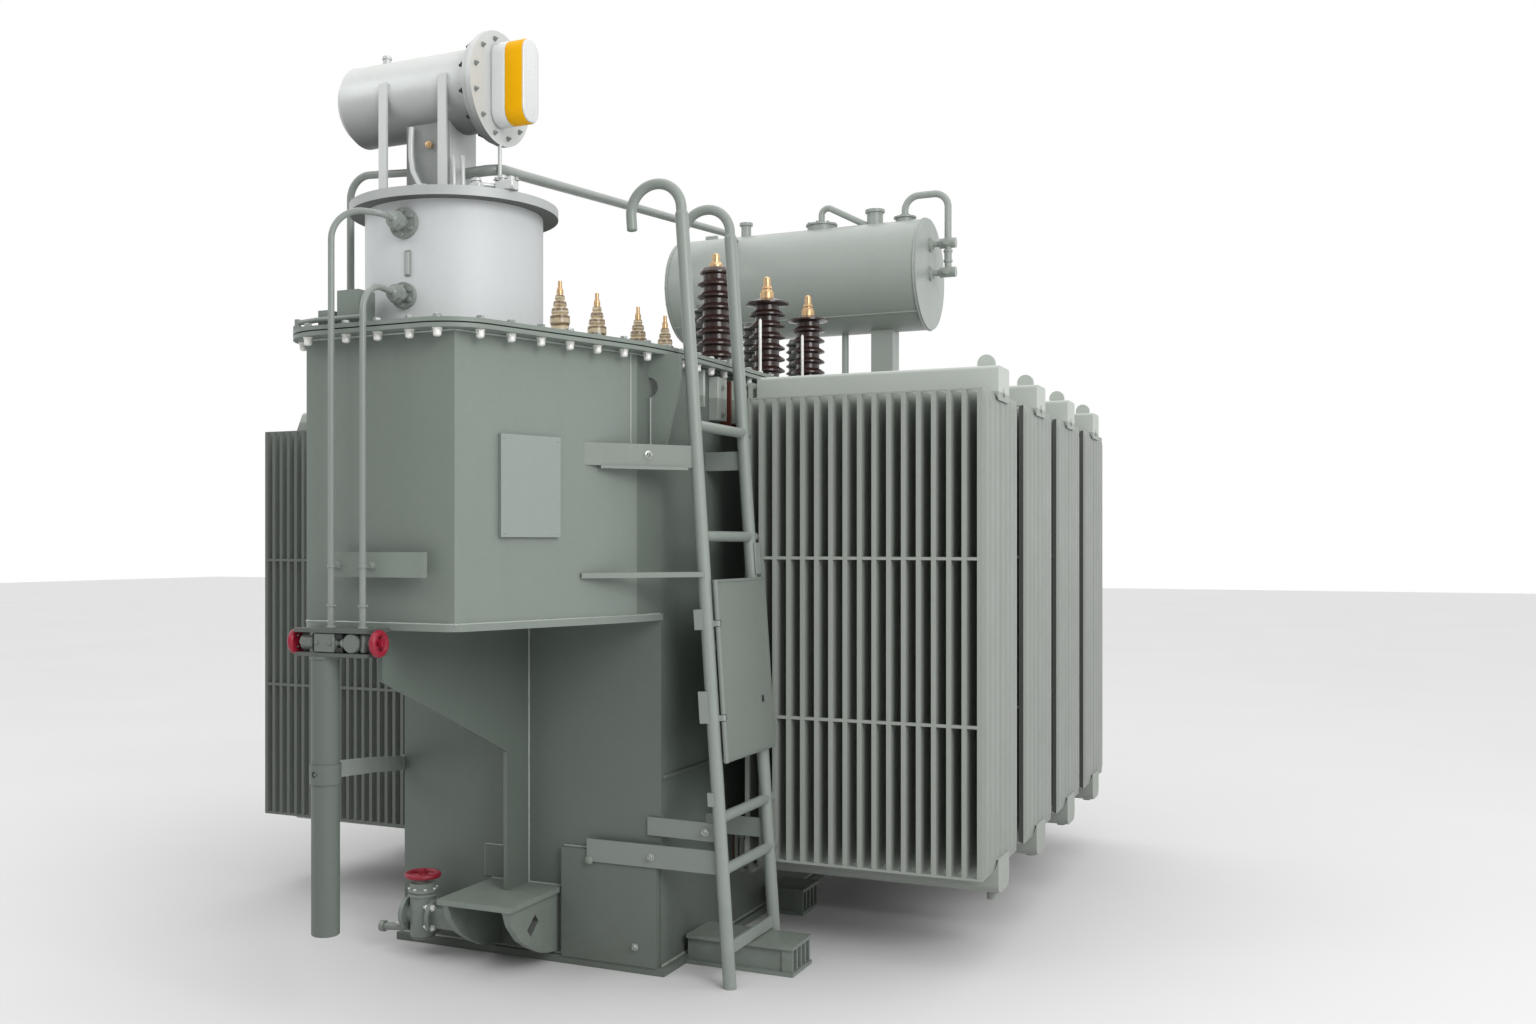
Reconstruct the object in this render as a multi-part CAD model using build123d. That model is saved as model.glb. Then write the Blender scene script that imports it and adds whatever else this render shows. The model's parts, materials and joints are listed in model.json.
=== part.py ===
from build123d import *
import os
from math import sin, cos, tan, radians, sqrt, pi

# Oil-filled power transformer with an on-load tap changer in a nose pocket at the
# front, plate radiators along both long sides, a transverse oil conservator at the
# rear and an access ladder with a hinged anti-climb gate on the right side.
# Millimetres. Origin: centre of the tank's underside, +Z up, -Y towards the nose.

os.makedirs("parts", exist_ok=True)

# ---- driving dimensions -------------------------------------------------------
TANK_HX, TANK_HY = 500.0, 1440.0          # half width and half length of the tank
BASE_LIP, BASE_T = 20.0, 25.0             # base plate lip and thickness
NECK_Z = 1161.0                           # underside of the wider upper tank
FLOOR_T, FLOOR_LIP = 20.0, 11.0           # pocket floor plate
FLOOR_R, RIM_R = 66.0, 110.0              # nose corner radii: pocket floor, and rim before its offset
RIM_Z0, RIM_T, GASKET_T = 1984.0, 12.0, 4.0
COVER_T, RIM_OUT = 12.0, 60.0
NOSE_Y, NOSE_HX, TAPER = -2255.0, 258.0, 18.4   # nose face, its half width, side taper (deg)
BEND_R = 1100.0                           # bend between the taper and the side wall
PITCH, FIN_T, FIN_W = 50.0, 16.0, 520.0   # radiator panels
FIN_X0, FIN_X1 = 635.0, 1435.0
FIN_Z0, FIN_Z1 = 307.0, 1885.0
UNIT_PITCH, UNIT_Y0, UNITS = 640.0, -1040.0, 4
HEAD_W, HEAD_TOP, HEAD_BOT, HEAD_H = 165.0, (1862.0, 1976.0), (228.0, 343.0), 115.0
HEAD_X0, HEAD_X1, HEAD_R_TOP, HEAD_R_BOT = 600.0, 1456.0, 12.0, 34.0
TIE_Z = (798.0, 1338.0)
SW_Y, SW_R, SW_Z1 = -1870.0, 272.0, 2390.0      # tap changer head
LID_R, LID_T = 319.0, 28.0
DRUM_Z, DRUM_R, DRUM_X0, DRUM_X1 = 2774.0, 124.5, -392.0, 132.0
PLATE_Z, PLATE_R = 2769.0, 171.0                # end plate of that drum
CON_Y, CON_Z, CON_R, CON_X0, CON_X1, CON_T = 1310.0, 2708.0, 270.0, -680.0, 640.0, 8.0
HV_X, HV_Y = 250.0, (-425.0, 120.0, 632.0)
LV_X, LV_Y = -250.0, (-783.0, -483.0, -114.0, 153.0)
LEAN = 3.9                                 # ladder lean towards the tank (deg)
AUX_X, AUX_Y = 100.0, (-226.0, 304.0, 864.0)
LAD_X, LAD_Y, LAD_W, STILE_R, RUNG_R = 755.0, -1474.0, 394.0, 21.0, 17.0
STILE_L, HOOK_R, HOOK_TUBE_R, HOOK_RISE = 2436.0, 89.0, 17.0, 22.0
RUNG_Z = (365.0, 527.0, 715.0, 1065.0, 1413.0, 1765.0)
GATE_Z0, GATE_Z1, GATE_T = 700.0, 1274.0, 6.0
PIPE_R = 9.2
# the left bank stands further out, is lower, and has thinner and closer panels
LEFT_OUT, LEFT_DROP, LEFT_PITCH, LEFT_T = 20.0, 46.0, 37.0, 14.0
LEFT_X0, LEFT_X1, LEFT_Z0, LEFT_TIE_Z, LEFT_BOT = 636.0, 1450.0, 293.0, (818.0, 1320.0), (238.0, 343.0)

COVER_Z = RIM_Z0 + RIM_T + GASKET_T + COVER_T   # 2012


# ---- helpers ------------------------------------------------------------------
def box(x0, x1, y0, y1, z0, z1):
    return Pos((x0 + x1) / 2, (y0 + y1) / 2, (z0 + z1) / 2) * Box(x1 - x0, y1 - y0, z1 - z0)


def cyl(p, d, r, h):
    return Plane(origin=p, z_dir=d) * Pos(0, 0, h / 2) * Cylinder(r, h)


def cx(x0, x1, y, z, r):
    return cyl((x0, y, z), (1, 0, 0), r, x1 - x0)


def cy(y0, y1, x, z, r):
    return cyl((x, y0, z), (0, 1, 0), r, y1 - y0)


def cz(z0, z1, x, y, r):
    return cyl((x, y, z0), (0, 0, 1), r, z1 - z0)


def plate_yz(pts, x0, x1):
    return Pos(x0, 0, 0) * extrude(Plane.YZ * make_face(Polyline(*pts, close=True)), x1 - x0)


def plate_xz(pts, y0, y1):
    return Pos(0, y1, 0) * extrude(Plane.XZ * make_face(Polyline(*pts, close=True)), y1 - y0)


def pipe(pts, r, radii):
    path = FilletPolyline(*pts, radius=radii)
    start = Plane(origin=path @ 0, z_dir=path % 0)
    return sweep(start * Circle(r), path=path)


def lathe(pts):
    return revolve(Plane.XZ * make_face(Polyline(*pts, close=True)), Axis.Z)


def fuse(*s):
    out = s[0]
    for t in s[1:]:
        out = out + t
    return out


def several(*shapes):
    return Compound([s for sh in shapes for s in sh.solids()])


def save(name, shape):
    export_step(shape, f"parts/{name}.step")


# ---- plan outline of the upper tank (nose pocket + long rectangle) --------------
def outline(out=0.0, corner=0.0):
    """Closed plan face, offset outwards by `out`; `corner` rounds the two nose corners."""
    t = radians(TAPER)
    hx, ny = TANK_HX + out, NOSE_Y - out
    nx = NOSE_HX + out * (1 - sin(t)) / cos(t)
    yi = ny + (hx - nx) / tan(t)              # where the taper meets the side wall
    r = BEND_R + out
    tl = r * tan(t / 2)
    ax, ay = hx - tl * sin(t), yi - tl * cos(t)
    bx, by = hx, yi + tl
    mx, my = hx - r + r * cos(t / 2), by - r * sin(t / 2)
    yb = TANK_HY + out
    turn = pi / 2 - t
    tc = corner * tan(turn / 2)
    px, qx, qy = nx - tc, nx + tc * sin(t), ny + tc * cos(t)
    e = [Line((-px, ny), (px, ny)), Line((qx, qy), (ax, ay)),
         ThreePointArc((ax, ay), (mx, my), (bx, by)), Line((bx, by), (bx, yb)),
         Line((bx, yb), (-bx, yb)), Line((-bx, yb), (-bx, by)),
         ThreePointArc((-bx, by), (-mx, my), (-ax, ay)), Line((-ax, ay), (-qx, qy))]
    if corner:
        kx, ky = px + corner * sin(turn / 2), ny + corner * (1 - cos(turn / 2))
        e += [ThreePointArc((px, ny), (kx, ky), (qx, qy)), ThreePointArc((-qx, qy), (-kx, ky), (-px, ny))]
    return make_face(e)


def slab(out, z0, z1, corner=0.0):
    return Pos(0, 0, z0) * extrude(outline(out, corner), z1 - z0)


# ---- tank -----------------------------------------------------------------------
hb, lb = TANK_HX + BASE_LIP, TANK_HY + BASE_LIP
base_plate = box(-hb, hb, -lb, lb, 0, BASE_T)
tank_lower = box(-TANK_HX, TANK_HX, -TANK_HY, TANK_HY, BASE_T, NECK_Z)
tank_upper = slab(0, NECK_Z, RIM_Z0)
pocket_floor = slab(FLOOR_LIP, NECK_Z - FLOOR_T, NECK_Z, FLOOR_R) & box(-900, 900, -2600, -TANK_HY, 1000, 1200)
tank_flange = slab(RIM_OUT, RIM_Z0, RIM_Z0 + RIM_T, RIM_R + RIM_OUT)
cover_gasket = slab(RIM_OUT - 9, RIM_Z0 + RIM_T, RIM_Z0 + RIM_T + GASKET_T, RIM_R + RIM_OUT - 9)
tank_cover = slab(RIM_OUT, COVER_Z - COVER_T, COVER_Z, RIM_R + RIM_OUT)
PAD_Z, PAD_OUT, PAD_HX = 250.0, 330.0, 137.0
pocket_gusset = plate_yz([(-2247, NECK_Z - FLOOR_T), (-2247, 995), (-1578, 706), (-1578, PAD_Z), (-TANK_HY, PAD_Z),
                          (-TANK_HY, NECK_Z - FLOOR_T)], -7, 7)


def beam(x1, y0, y1):
    x0 = hb
    core = box(x0, x1 - 26, y0 + 14, y1 - 14, 12, 84)
    b = fuse(core, box(x0, x1, y0, y1, 0, 12), box(x0, x1, y0, y1, 84, 96))
    n = 5
    for i in range(n):
        y = y0 + 12 + (y1 - y0 - 24) * i / (n - 1)
        b = b + box(x1 - 40, x1 - 4, y - 5, y + 5, 6, 90)
    return b


base_beam_front = beam(895.0, -1290.0, -1112.0)
base_beam_rear = beam(662.0, -560.0, -382.0)


def pad(sy):
    y0, y1 = -TANK_HY, -TANK_HY - PAD_OUT
    p = plate_yz([(y0, PAD_Z), (y1, PAD_Z), (y1, PAD_Z - 18), (y0, PAD_Z - 18)], -PAD_HX, PAD_HX)
    for x in (-112, 112):
        side = plate_yz([(y0, PAD_Z - 18), (y1 + 8, PAD_Z - 18), (y1 + 30, 182), (y1 + 84, 124), (y1 + 147, 86),
                         (y1 + 213, 55), (y1 + 258, 44), (y0, BASE_T + 8)], x - 11, x + 11)
        p = p + side
    slot = plate_yz([(y0 - 154, 189), (y0 - 133, 163), (y0 - 182, 122), (y0 - 203, 148)], 90, 140)
    p = p - slot
    p = p - box(-600, 600, -TANK_HY - BASE_LIP - 4, TANK_HY, 0, BASE_T)
    return p if sy < 0 else mirror(p, Plane.XZ)


jacking_pads = pad(-1) + pad(1)
earth_box = box(146, 495, -TANK_HY - 25, -TANK_HY, BASE_T, 385)


def lug(sx, sy):
    y0 = -1500.0 if sy < 0 else 1250.0
    p = plate_xz([(470, RIM_Z0), (599, RIM_Z0), (599, 1906), (550, 1705), (536, 1640), (470, 1640)], y0 - 10, y0 + 10)
    hole_x = 500.0 if sy > 0 else 490.0
    p = p - cy(y0 - 30, y0 + 30, hole_x + 2, 1882, 31)
    p = p - tank_upper
    p = max(p.solids(), key=lambda s: s.volume)
    return p if sx > 0 else mirror(p, Plane.YZ)


lifting_lugs = Compound([lug(1, -1), lug(-1, -1), lug(1, 1), lug(-1, 1)])

tdir = (sin(radians(TAPER)), cos(radians(TAPER)))
NP_W, NP_H, NP_T, NP_Y = 226.0, 295.0, 14.0, -2001.0
np_x = NOSE_HX + (NP_Y - NOSE_Y) * tan(radians(TAPER))
nameplate = Plane(origin=(np_x, NP_Y, 1553), x_dir=(tdir[0], tdir[1], 0), z_dir=(tdir[1], -tdir[0], 0)) * Pos(0, 0, NP_T / 2) * Box(NP_W, NP_H, NP_T)

# ---- radiators --------------------------------------------------------------------
def header(ym, z0, z1, top):
    """Header box with its two outer long edges rounded."""
    b = box(HEAD_X0, HEAD_X1, ym - HEAD_W / 2, ym + HEAD_W / 2, z0, z1)
    e = b.edges().filter_by(Axis.X).group_by(Axis.Z)[-1 if top else 0]
    return fillet(e, HEAD_R_TOP if top else HEAD_R_BOT)


def radiator(i, left=False):
    y0 = UNIT_Y0 + UNIT_PITCH * i
    ym = y0 + FIN_W / 2
    drop = LEFT_DROP if left else 0.0
    x0, x1, fz, pitch, ft_x = (LEFT_X0, LEFT_X1, LEFT_Z0, LEFT_PITCH, LEFT_T) if left else (FIN_X0, FIN_X1, FIN_Z0, PITCH, FIN_T)
    ties, bot = (LEFT_TIE_Z, LEFT_BOT) if left else (TIE_Z, HEAD_BOT)
    ht, ft = (HEAD_TOP[0] - drop, HEAD_TOP[1] - drop), FIN_Z1 - drop
    upper = header(ym, *ht, True)
    if left:                                   # mitred outer end
        upper = upper - plate_xz([(HEAD_X1 + 5, ft + 4), (HEAD_X1 + 5, ht[1] + 5), (HEAD_X1 - 46, ht[1] + 5), (HEAD_X1 - 6, ft + 4)], ym - 100, ym + 100)
    r = upper + header(ym, *bot, False)
    n = round((x1 - x0) / pitch) + 1
    fins = [box(x0 + pitch * k - ft_x / 2, x0 + pitch * k + ft_x / 2, y0, y0 + FIN_W, fz, ft) for k in range(n)]
    bars = []
    for ya, yb in ((y0, y0 + 10), (y0 + FIN_W - 10, y0 + FIN_W)):
        for z in ties:
            bars.append(box(x0 - ft_x / 2, x1 + ft_x / 2, ya, yb, z - 5, z + 5))
        bars.append(box(x0 - ft_x / 2, x1 + ft_x / 2, ya, yb, fz, fz + 8))
        bars.append(box(x0 - ft_x / 2, x1 + ft_x / 2, ya, yb, ft - 5, ft))
    ear = HEAD_X1 - (58 if not left else 108)
    ears = [box(ear - 30, ear + 30, ym - 8, ym + 8, ht[1], ht[1] + 18),
            cy(ym - 8, ym + 8, ear, ht[1] + 16, 30),
            cz(bot[0] - (34 if i == 0 and not left else 12), bot[0], HEAD_X1 - 40, ym, 17),
            cx(HEAD_X1, HEAD_X1 + 5, ym, ht[0] + 29 if not left else bot[1] - 40, 15),
            box(HEAD_X0, HEAD_X0 + 14, ym - HEAD_W / 2, ym + HEAD_W / 2, 1812 - drop, ht[1])]
    return r.fuse(*fins, *bars, *ears)


radiators = [radiator(i) for i in range(UNITS)]
radiators_l = [Pos(-LEFT_OUT, 0, 0) * mirror(radiator(i, True), Plane.YZ) for i in range(UNITS)]


def rad_pipe(i, top, drop=0.0, out=0.0):
    ym = UNIT_Y0 + UNIT_PITCH * i + FIN_W / 2
    z = 1888.0 - drop if top else (HEAD_BOT[0] + HEAD_BOT[1]) / 2
    p = cx(TANK_HX, HEAD_X0 + out, ym, z, 45)
    for x0, x1, w in ((528, 544, 72), (544, 562, 58), (562, 578, 72)):
        p = p + box(x0, x1, ym - w, ym + w, z - w, z + w)
    return p


rad_pipes = Compound([s for i in range(UNITS) for t in (True, False) for s in rad_pipe(i, t).solids()])
rad_pipes_l = mirror(Compound([s for i in range(UNITS) for t in (True, False) for s in rad_pipe(i, t, LEFT_DROP, LEFT_OUT).solids()]), Plane.YZ)

# ---- tap changer head, its small conservator and pipes ------------------------------
switch_head = cz(COVER_Z, SW_Z1, 0, SW_Y, SW_R)
switch_lid = cz(SW_Z1, SW_Z1 + LID_T, 0, SW_Y, LID_R)
LID_Z = SW_Z1 + LID_T
drum = Plane(origin=(0, SW_Y, DRUM_Z), z_dir=(1, 0, 0)) * lathe(
    [(0, DRUM_X0), (60, DRUM_X0 + 6), (104, DRUM_X0 + 24), (126, DRUM_X0 + 48), (DRUM_R, DRUM_X0 + 82), (DRUM_R, DRUM_X1), (0, DRUM_X1)])
drum_flange = cx(DRUM_X1 - 2, DRUM_X1 + 15, SW_Y, PLATE_Z, PLATE_R - 11) + cx(DRUM_X1 + 15, DRUM_X1 + 19, SW_Y, PLATE_Z, PLATE_R - 20) + cx(DRUM_X1 + 19, DRUM_X1 + 36, SW_Y, PLATE_Z, PLATE_R)
gauge_cap = fillet(box(DRUM_X1 + 36, 280, SW_Y - 57, SW_Y + 31, 2652, 2898).edges().filter_by(Axis.X), 40)
PED_X0, PED_X1 = -129.0, 30.0
pedestal = box(PED_X0, PED_X1, SW_Y - 72, SW_Y + 72, LID_Z, DRUM_Z - 60) - drum
strap_y = SW_Y - DRUM_R
drum_straps = Compound([s for x in (-175, 42) for s in (box(x - 15, x + 15, strap_y - 8, strap_y, LID_Z, DRUM_Z + 22) + box(x - 15, x + 15, strap_y - 60, strap_y, LID_Z, LID_Z + 8)).solids()])

PIPE_Y = -2340.0
SHELF_Z0, SHELF_Z1 = 1070.0, 1148.0


def head_stub(z, rf):
    a = radians(-2)
    d = (-sin(a), -cos(a), 0)
    o = (d[0] * (SW_R - 6), SW_Y + d[1] * (SW_R - 6), z)
    s = cyl(o, d, rf, 20) + cyl(o, d, 20, 62)
    return (s - switch_head), tuple(o[k] + d[k] * 62 for k in range(3)), d


stub_hi, end_hi, dh = head_stub(2320.0, 45)
stub_lo, end_lo, dl = head_stub(2109.0, 39)
head_stubs = Compound([*stub_hi.solids(), *stub_lo.solids()])
pipe_tap_upper = pipe([end_hi, (end_hi[0] + dh[0] * 55, end_hi[1] + dh[1] * 55, 2326), (-100, PIPE_Y, 2340), (-100, PIPE_Y, SHELF_Z1)], PIPE_R, [40, 84])
pipe_tap_lower = pipe([end_lo, (10, PIPE_Y, 2126), (10, PIPE_Y, SHELF_Z1)], PIPE_R, [80])
pipe_bracket = box(-116, 191, -2308, -2290, 1292, 1363) - box(-110, 185, -2302, -2280, 1280, 1400)
pipe_bracket = pipe_bracket + box(0, 80, -2303, NOSE_Y, 1312, 1348)
pipe_vent = pipe([(-399, SW_Y, COVER_Z + 16), (-399, SW_Y, 2566), (PED_X0, SW_Y, 2550)], 12, [70]) - pedestal
vent_foot = cz(COVER_Z, COVER_Z + 16, -399, SW_Y, 34)
cover_box = several(box(-167, -90, -2230, -2152, COVER_Z, 2124), box(-236, -196, -2230, -2180, COVER_Z, 2070))
pipe_equaliser = pipe([(PED_X1, SW_Y, 2526), (PED_X1 + 126, SW_Y, 2528), (-330, 1090, 2950), (-330, 1190, 2906)], 17, [40, 40]) - cx(CON_X0, CON_X1, CON_Y, CON_Z, CON_R)
pipe_equaliser = max((pipe_equaliser - pedestal).solids(), key=lambda s: s.volume)

# ---- valve shelf and the tube hanging below it ---------------------------------------
SH_X0, SH_X1, SH_Y0, SH_Y1 = -203.0, 48.0, -2378.0, NOSE_Y - FLOOR_LIP
valve_shelf = Compound([*box(SH_X0, SH_X1, SH_Y0, SH_Y1, SHELF_Z1 - 11, SHELF_Z1).solids(),
                        *box(SH_X0 + 4, SH_X1, SH_Y0, SH_Y1, SHELF_Z0, SHELF_Z0 + 10).solids()])
VZ = (SHELF_Z0 + 10 + SHELF_Z1 - 11) / 2
vr = (SHELF_Z1 - 11 - SHELF_Z0 - 10) / 2


def shelf_valve(x0, x1, out):
    b = cx(x0, x1, PIPE_Y, VZ, vr - 3) + box(x0 + 30, x1 - 30, PIPE_Y - 20, PIPE_Y + 30, SHELF_Z0 + 10, SHELF_Z1 - 11)
    b = b + (cx(x1, x1 + 13, PIPE_Y, VZ, 13) + cx(x1 + 13, x1 + 18, PIPE_Y, VZ, 8) if out > 0 else cx(x0 - 13, x0, PIPE_Y, VZ, 13) + cx(x0 - 18, x0 - 13, PIPE_Y, VZ, 8))
    return b


shelf_valves = Compound([*shelf_valve(-189, -82, -1).solids(), *shelf_valve(-48, 34.5, 1).solids()])


def wheel(r, rim, hub, hub_t):
    """Handwheel about Z, centred on the origin: torus rim, four spokes, hub."""
    w = revolve(Plane.XZ * Pos(r - rim, 0) * Circle(rim), Axis.Z)
    bars = [Rot(0, 0, a) * Rot(0, 90, 0) * Pos(0, 0, (r - rim) / 2) * Cylinder(rim * 0.62, r - rim) for a in (45, 135, 225, 315)]
    return w.fuse(Cylinder(hub, hub_t), *bars)


w_small = wheel(39, 10.5, 14, 24)
wheel_left = Pos(-189 - 18.4 - 12, PIPE_Y, VZ) * Rot(0, 90, 0) * w_small
wheel_right = Pos(34.5 + 18.4 + 12, PIPE_Y, VZ) * Rot(0, 90, 0) * w_small
drop_tube = Plane(origin=(-120, PIPE_Y, 280)) * lathe([(0, 0), (37, 0), (40, 3), (40, SHELF_Z0 - 280), (0, SHELF_Z0 - 280)])
tube_ring = cz(708, 764, -120, PIPE_Y, 44) - cz(690, 780, -120, PIPE_Y, 40)
arm_path = Polyline((-160, PIPE_Y + 6, 738), (-400, -1753, 660), (-506, -TANK_HY - 6, 616))
arm = sweep(Plane(origin=arm_path @ 0, x_dir=(0.93, 0.37, 0), z_dir=arm_path % 0) * Rectangle(8, 50), path=arm_path, transition=Transition.RIGHT)
tube_strap = (tube_ring + arm + box(-512, -500, -TANK_HY - 12, -TANK_HY + 60, 590, 642)) - cz(600, 800, -120, PIPE_Y, 40) - tank_lower

# ---- drain valve on the front wall --------------------------------------------------
DV = (-338.0, -1560.0, 132.0)
DV_R = 57.0
drain_valve = cz(62, 240, DV[0], DV[1], 43) + cx(DV[0] - 56, DV[0] + 56, DV[1], DV[2], 34)
drain_valve = drain_valve + cx(DV[0] - 62, DV[0] - 46, DV[1], DV[2], DV_R) + cx(DV[0] + 44, DV[0] + 60, DV[1], DV[2], DV_R)
drain_valve = drain_valve + cy(DV[1] + 28, -TANK_HY, DV[0] + 118, DV[2], 31) + box(DV[0] + 54, DV[0] + 152, DV[1] - 33, DV[1] + 33, DV[2] - 33, DV[2] + 33)
drain_valve = drain_valve + cz(240, 256, DV[0], DV[1], 14)
for k in range(4):
    a = pi / 4 + k * pi / 2
    drain_valve = drain_valve - cx(DV[0] - 70, DV[0] - 45, DV[1] + 46 * cos(a), DV[2] + 46 * sin(a), 5.5)
wheel_drain = Pos(DV[0], DV[1], 256.4 + 9) * wheel(62, 9.5, 16, 18)

# ---- main conservator ---------------------------------------------------------------
con_shell = cx(CON_X0 + 14, CON_X1 - 12, CON_Y, CON_Z, CON_R) - cx(CON_X0, CON_X1, CON_Y, CON_Z, CON_R - CON_T)
con_end_right = cx(CON_X1 - 12, CON_X1, CON_Y, CON_Z, CON_R)
con_end_left = cx(CON_X0 - 10, CON_X0 + 14, CON_Y, CON_Z, 232) + cx(CON_X0 + 2, CON_X0 + 14, CON_Y, CON_Z, CON_R)
con_solid = cx(CON_X0, CON_X1, CON_Y, CON_Z, CON_R)
posts = []
for x in (-475.0, 411.0):
    p = box(x - 55, x + 55, CON_Y - 55, CON_Y + 55, COVER_Z, CON_Z) - con_solid
    p = max(p.solids(), key=lambda s: s.volume)
    posts.append(p)
con_posts = Compound(posts)
relay = cz(COVER_Z, CON_Z, 204, CON_Y, 17) + cz(COVER_Z, COVER_Z + 14, 204, CON_Y, 52)
relay = max((relay - con_solid).solids(), key=lambda s: s.volume)
top = CON_Z + CON_R
con_stubs = Compound([max((s - con_solid).solids(), key=lambda q: q.volume) for s in (
    cz(CON_Z, 3052, -336, CON_Y, 26), cz(CON_Z, 3052, 359, CON_Y, 40),
    cz(CON_Z, 3004, 78, CON_Y, 72) + cz(CON_Z, 3016, 78, CON_Y, 26), cz(CON_Z, 3000, 513, CON_Y, 46) + cz(CON_Z, 3014, 513, CON_Y, 26))])
pipe_breather = pipe([(78, CON_Y, 3016), (78, CON_Y, 3108), (330, CON_Y, 2972)], 16, [34]) - con_solid - con_stubs
pipe_breather = max(pipe_breather.solids(), key=lambda s: s.volume)
pipe_level = pipe([(513, CON_Y, 3014), (513, CON_Y, 3102), (729, CON_Y, 3102), (729, CON_Y, 2694)], 17, [70, 70])
for z in (2854, 2712):
    pipe_level = pipe_level + cx(CON_X1, 729, CON_Y, z, 15) + cx(690, 768, CON_Y, z, 25) + cx(CON_X1, CON_X1 + 10, CON_Y, z, 34)

# ---- bushings -----------------------------------------------------------------------
def hv(y):
    n, z0, z1 = (9, COVER_Z + 26, 2470.0) if y < -300 else (8, COVER_Z + 26, 2432.0)
    pts = [(0, z0), (62, z0)]
    step = (z1 - z0 - 10) / n
    for i in range(n):
        r = (64 if y < -300 else 92) if i == n - 1 else 76
        zb = z0 + 8 + step * i
        pts += [(52, zb), (52, zb + step * 0.38), (r, zb + step * 0.52), (r, zb + step * 0.66), (54, zb + step * 0.96)]
    pts += [(40, z1), (0, z1)]
    return Pos(HV_X, y, 0) * lathe(pts)


hv_bushings = Compound([s for y in HV_Y for s in hv(y).solids()])
hv_terminals = Compound([s for y in HV_Y for s in ((cz(2470, 2480, HV_X, y, 28) + cz(2480, 2520, HV_X, y, 16)) if y < -300 else (cz(2432, 2458, HV_X, y, 30) + cz(2458, 2520, HV_X, y, 16))).solids()])


def lv(y):
    z = COVER_Z + 10
    pts = [(0, z), (46, z), (46, z + 58), (38, z + 64), (44, z + 78), (44, z + 128), (36, z + 136), (42, z + 150), (42, z + 193), (34, z + 200),
           (39, z + 214), (38, z + 240), (30, z + 246), (34, z + 254), (31, z + 270), (23, z + 276), (27, z + 283), (24, z + 296), (17, z + 302),
           (20, z + 309), (17, z + 320), (0, z + 320)]
    return Pos(LV_X, y, 0) * lathe(pts)


lv_bushings = Compound([s for y in LV_Y for s in lv(y).solids()])
lv_terminals = Compound([s for y in LV_Y for s in (cz(COVER_Z + 330, COVER_Z + 352, LV_X, y, 13) + cz(COVER_Z + 352, 2398, LV_X, y, 8)).solids()])
bushing_flanges = Compound([*[s for y in HV_Y for s in cz(COVER_Z, COVER_Z + 26, HV_X, y, 95).solids()],
                            *[s for y in LV_Y for s in cz(COVER_Z, COVER_Z + 10, LV_X, y, 62).solids()]])

# slim ribbed arresters in the row behind
def aux(y):
    z0, n, step = COVER_Z + 24, 9, 34.0
    pts = [(0, z0), (36, z0)]
    for i in range(n):
        zb = z0 + 6 + step * i
        pts += [(30, zb), (30, zb + 12), (43, zb + 19), (43, zb + 24), (31, zb + 32)]
    return Pos(AUX_X, y, 0) * (lathe(pts + [(26, z0 + 326), (0, z0 + 326)]) + cz(COVER_Z, z0, 0, 0, 50))


aux_bushings = Compound([s for y in AUX_Y for s in aux(y).solids()])

# ---- ladder -------------------------------------------------------------------------
la = radians(LEAN)
LP = Plane(origin=(LAD_X, LAD_Y, 0), x_dir=(cos(la), 0, sin(la)), z_dir=(-sin(la), 0, cos(la)))
below = box(0, 1200, -1800, -900, -200, 0)


def lad(s):
    return LP * s


def stile(y):
    return lad(Pos(0, y, (STILE_L - 40) / 2) * Cylinder(STILE_R, STILE_L + 40)) - below


stile_near, stile_far = stile(0), stile(LAD_W)


def hook(y):
    z = STILE_L - 20 + 40 - 40 + 20
    path = FilletPolyline((0, y, z), (0, y, z + HOOK_R + HOOK_RISE), (-2 * HOOK_R, y, z + HOOK_R + HOOK_RISE), (-2 * HOOK_R, y, z - 21),
                          radius=HOOK_R - 1)
    return lad(sweep(Plane(origin=path @ 0, z_dir=path % 0) * Circle(HOOK_TUBE_R), path=path))


hooks = [hook(0), hook(LAD_W)]
ladder_hooks = Compound([s for h in hooks for s in h.solids()])
rungs = []
for z in RUNG_Z:
    r = lad(Pos(0, LAD_W / 2, z) * Rot(90, 0, 0) * Cylinder(RUNG_R, LAD_W)) - stile_near - stile_far
    rungs.append(max(r.solids(), key=lambda s: s.volume))
foot_bar = lad(Pos(0, LAD_W / 2, 120) * Box(10, LAD_W, 38)) - stile_near - stile_far
rungs.append(max(foot_bar.solids(), key=lambda s: s.volume))
ladder_rungs = Compound(rungs)

# hinged anti-climb gate: pivots on the near stile, swings outwards from the tank
HX, HY = 34.0, 5.0                         # hinge line in the ladder's own frame
EAR_Z = ((832.0, 850.0), (1128.0, 1146.0))  # fixed knuckles on the stile
gate = box(HX - GATE_T / 2, HX + GATE_T / 2, HY, LAD_W + 24, GATE_Z0, GATE_Z1) + cz(GATE_Z0, GATE_Z1, HX, HY, 8)
for z0, z1 in EAR_Z:
    gate = gate - box(HX - 20, HX + 20, HY - 20, HY + 20, z0 - 2, z1 + 2)
gate = gate - box(HX - 9, HX + 9, 322, 337, 861, 879)
ladder_gate = lad(gate)
ears = []
for z0, z1 in EAR_Z:
    e = lad(box(0, HX, HY - 8, HY + 8, z0, z1) + cz(z0, z1, HX, HY, 8)) - stile_near
    ears.append(max(e.solids(), key=lambda s: s.volume))
for z0, z1, d in ((1120, 1184, 40), (827, 927, 42), (568, 610, 32)):   # small plates on the stile's inner side
    e = lad(box(-d + 6, -4, -24, -12, z0, z1)) - stile_near
    ears.append(max(e.solids(), key=lambda s: s.volume))
gate_hinge_ears = Compound(ears)
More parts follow.
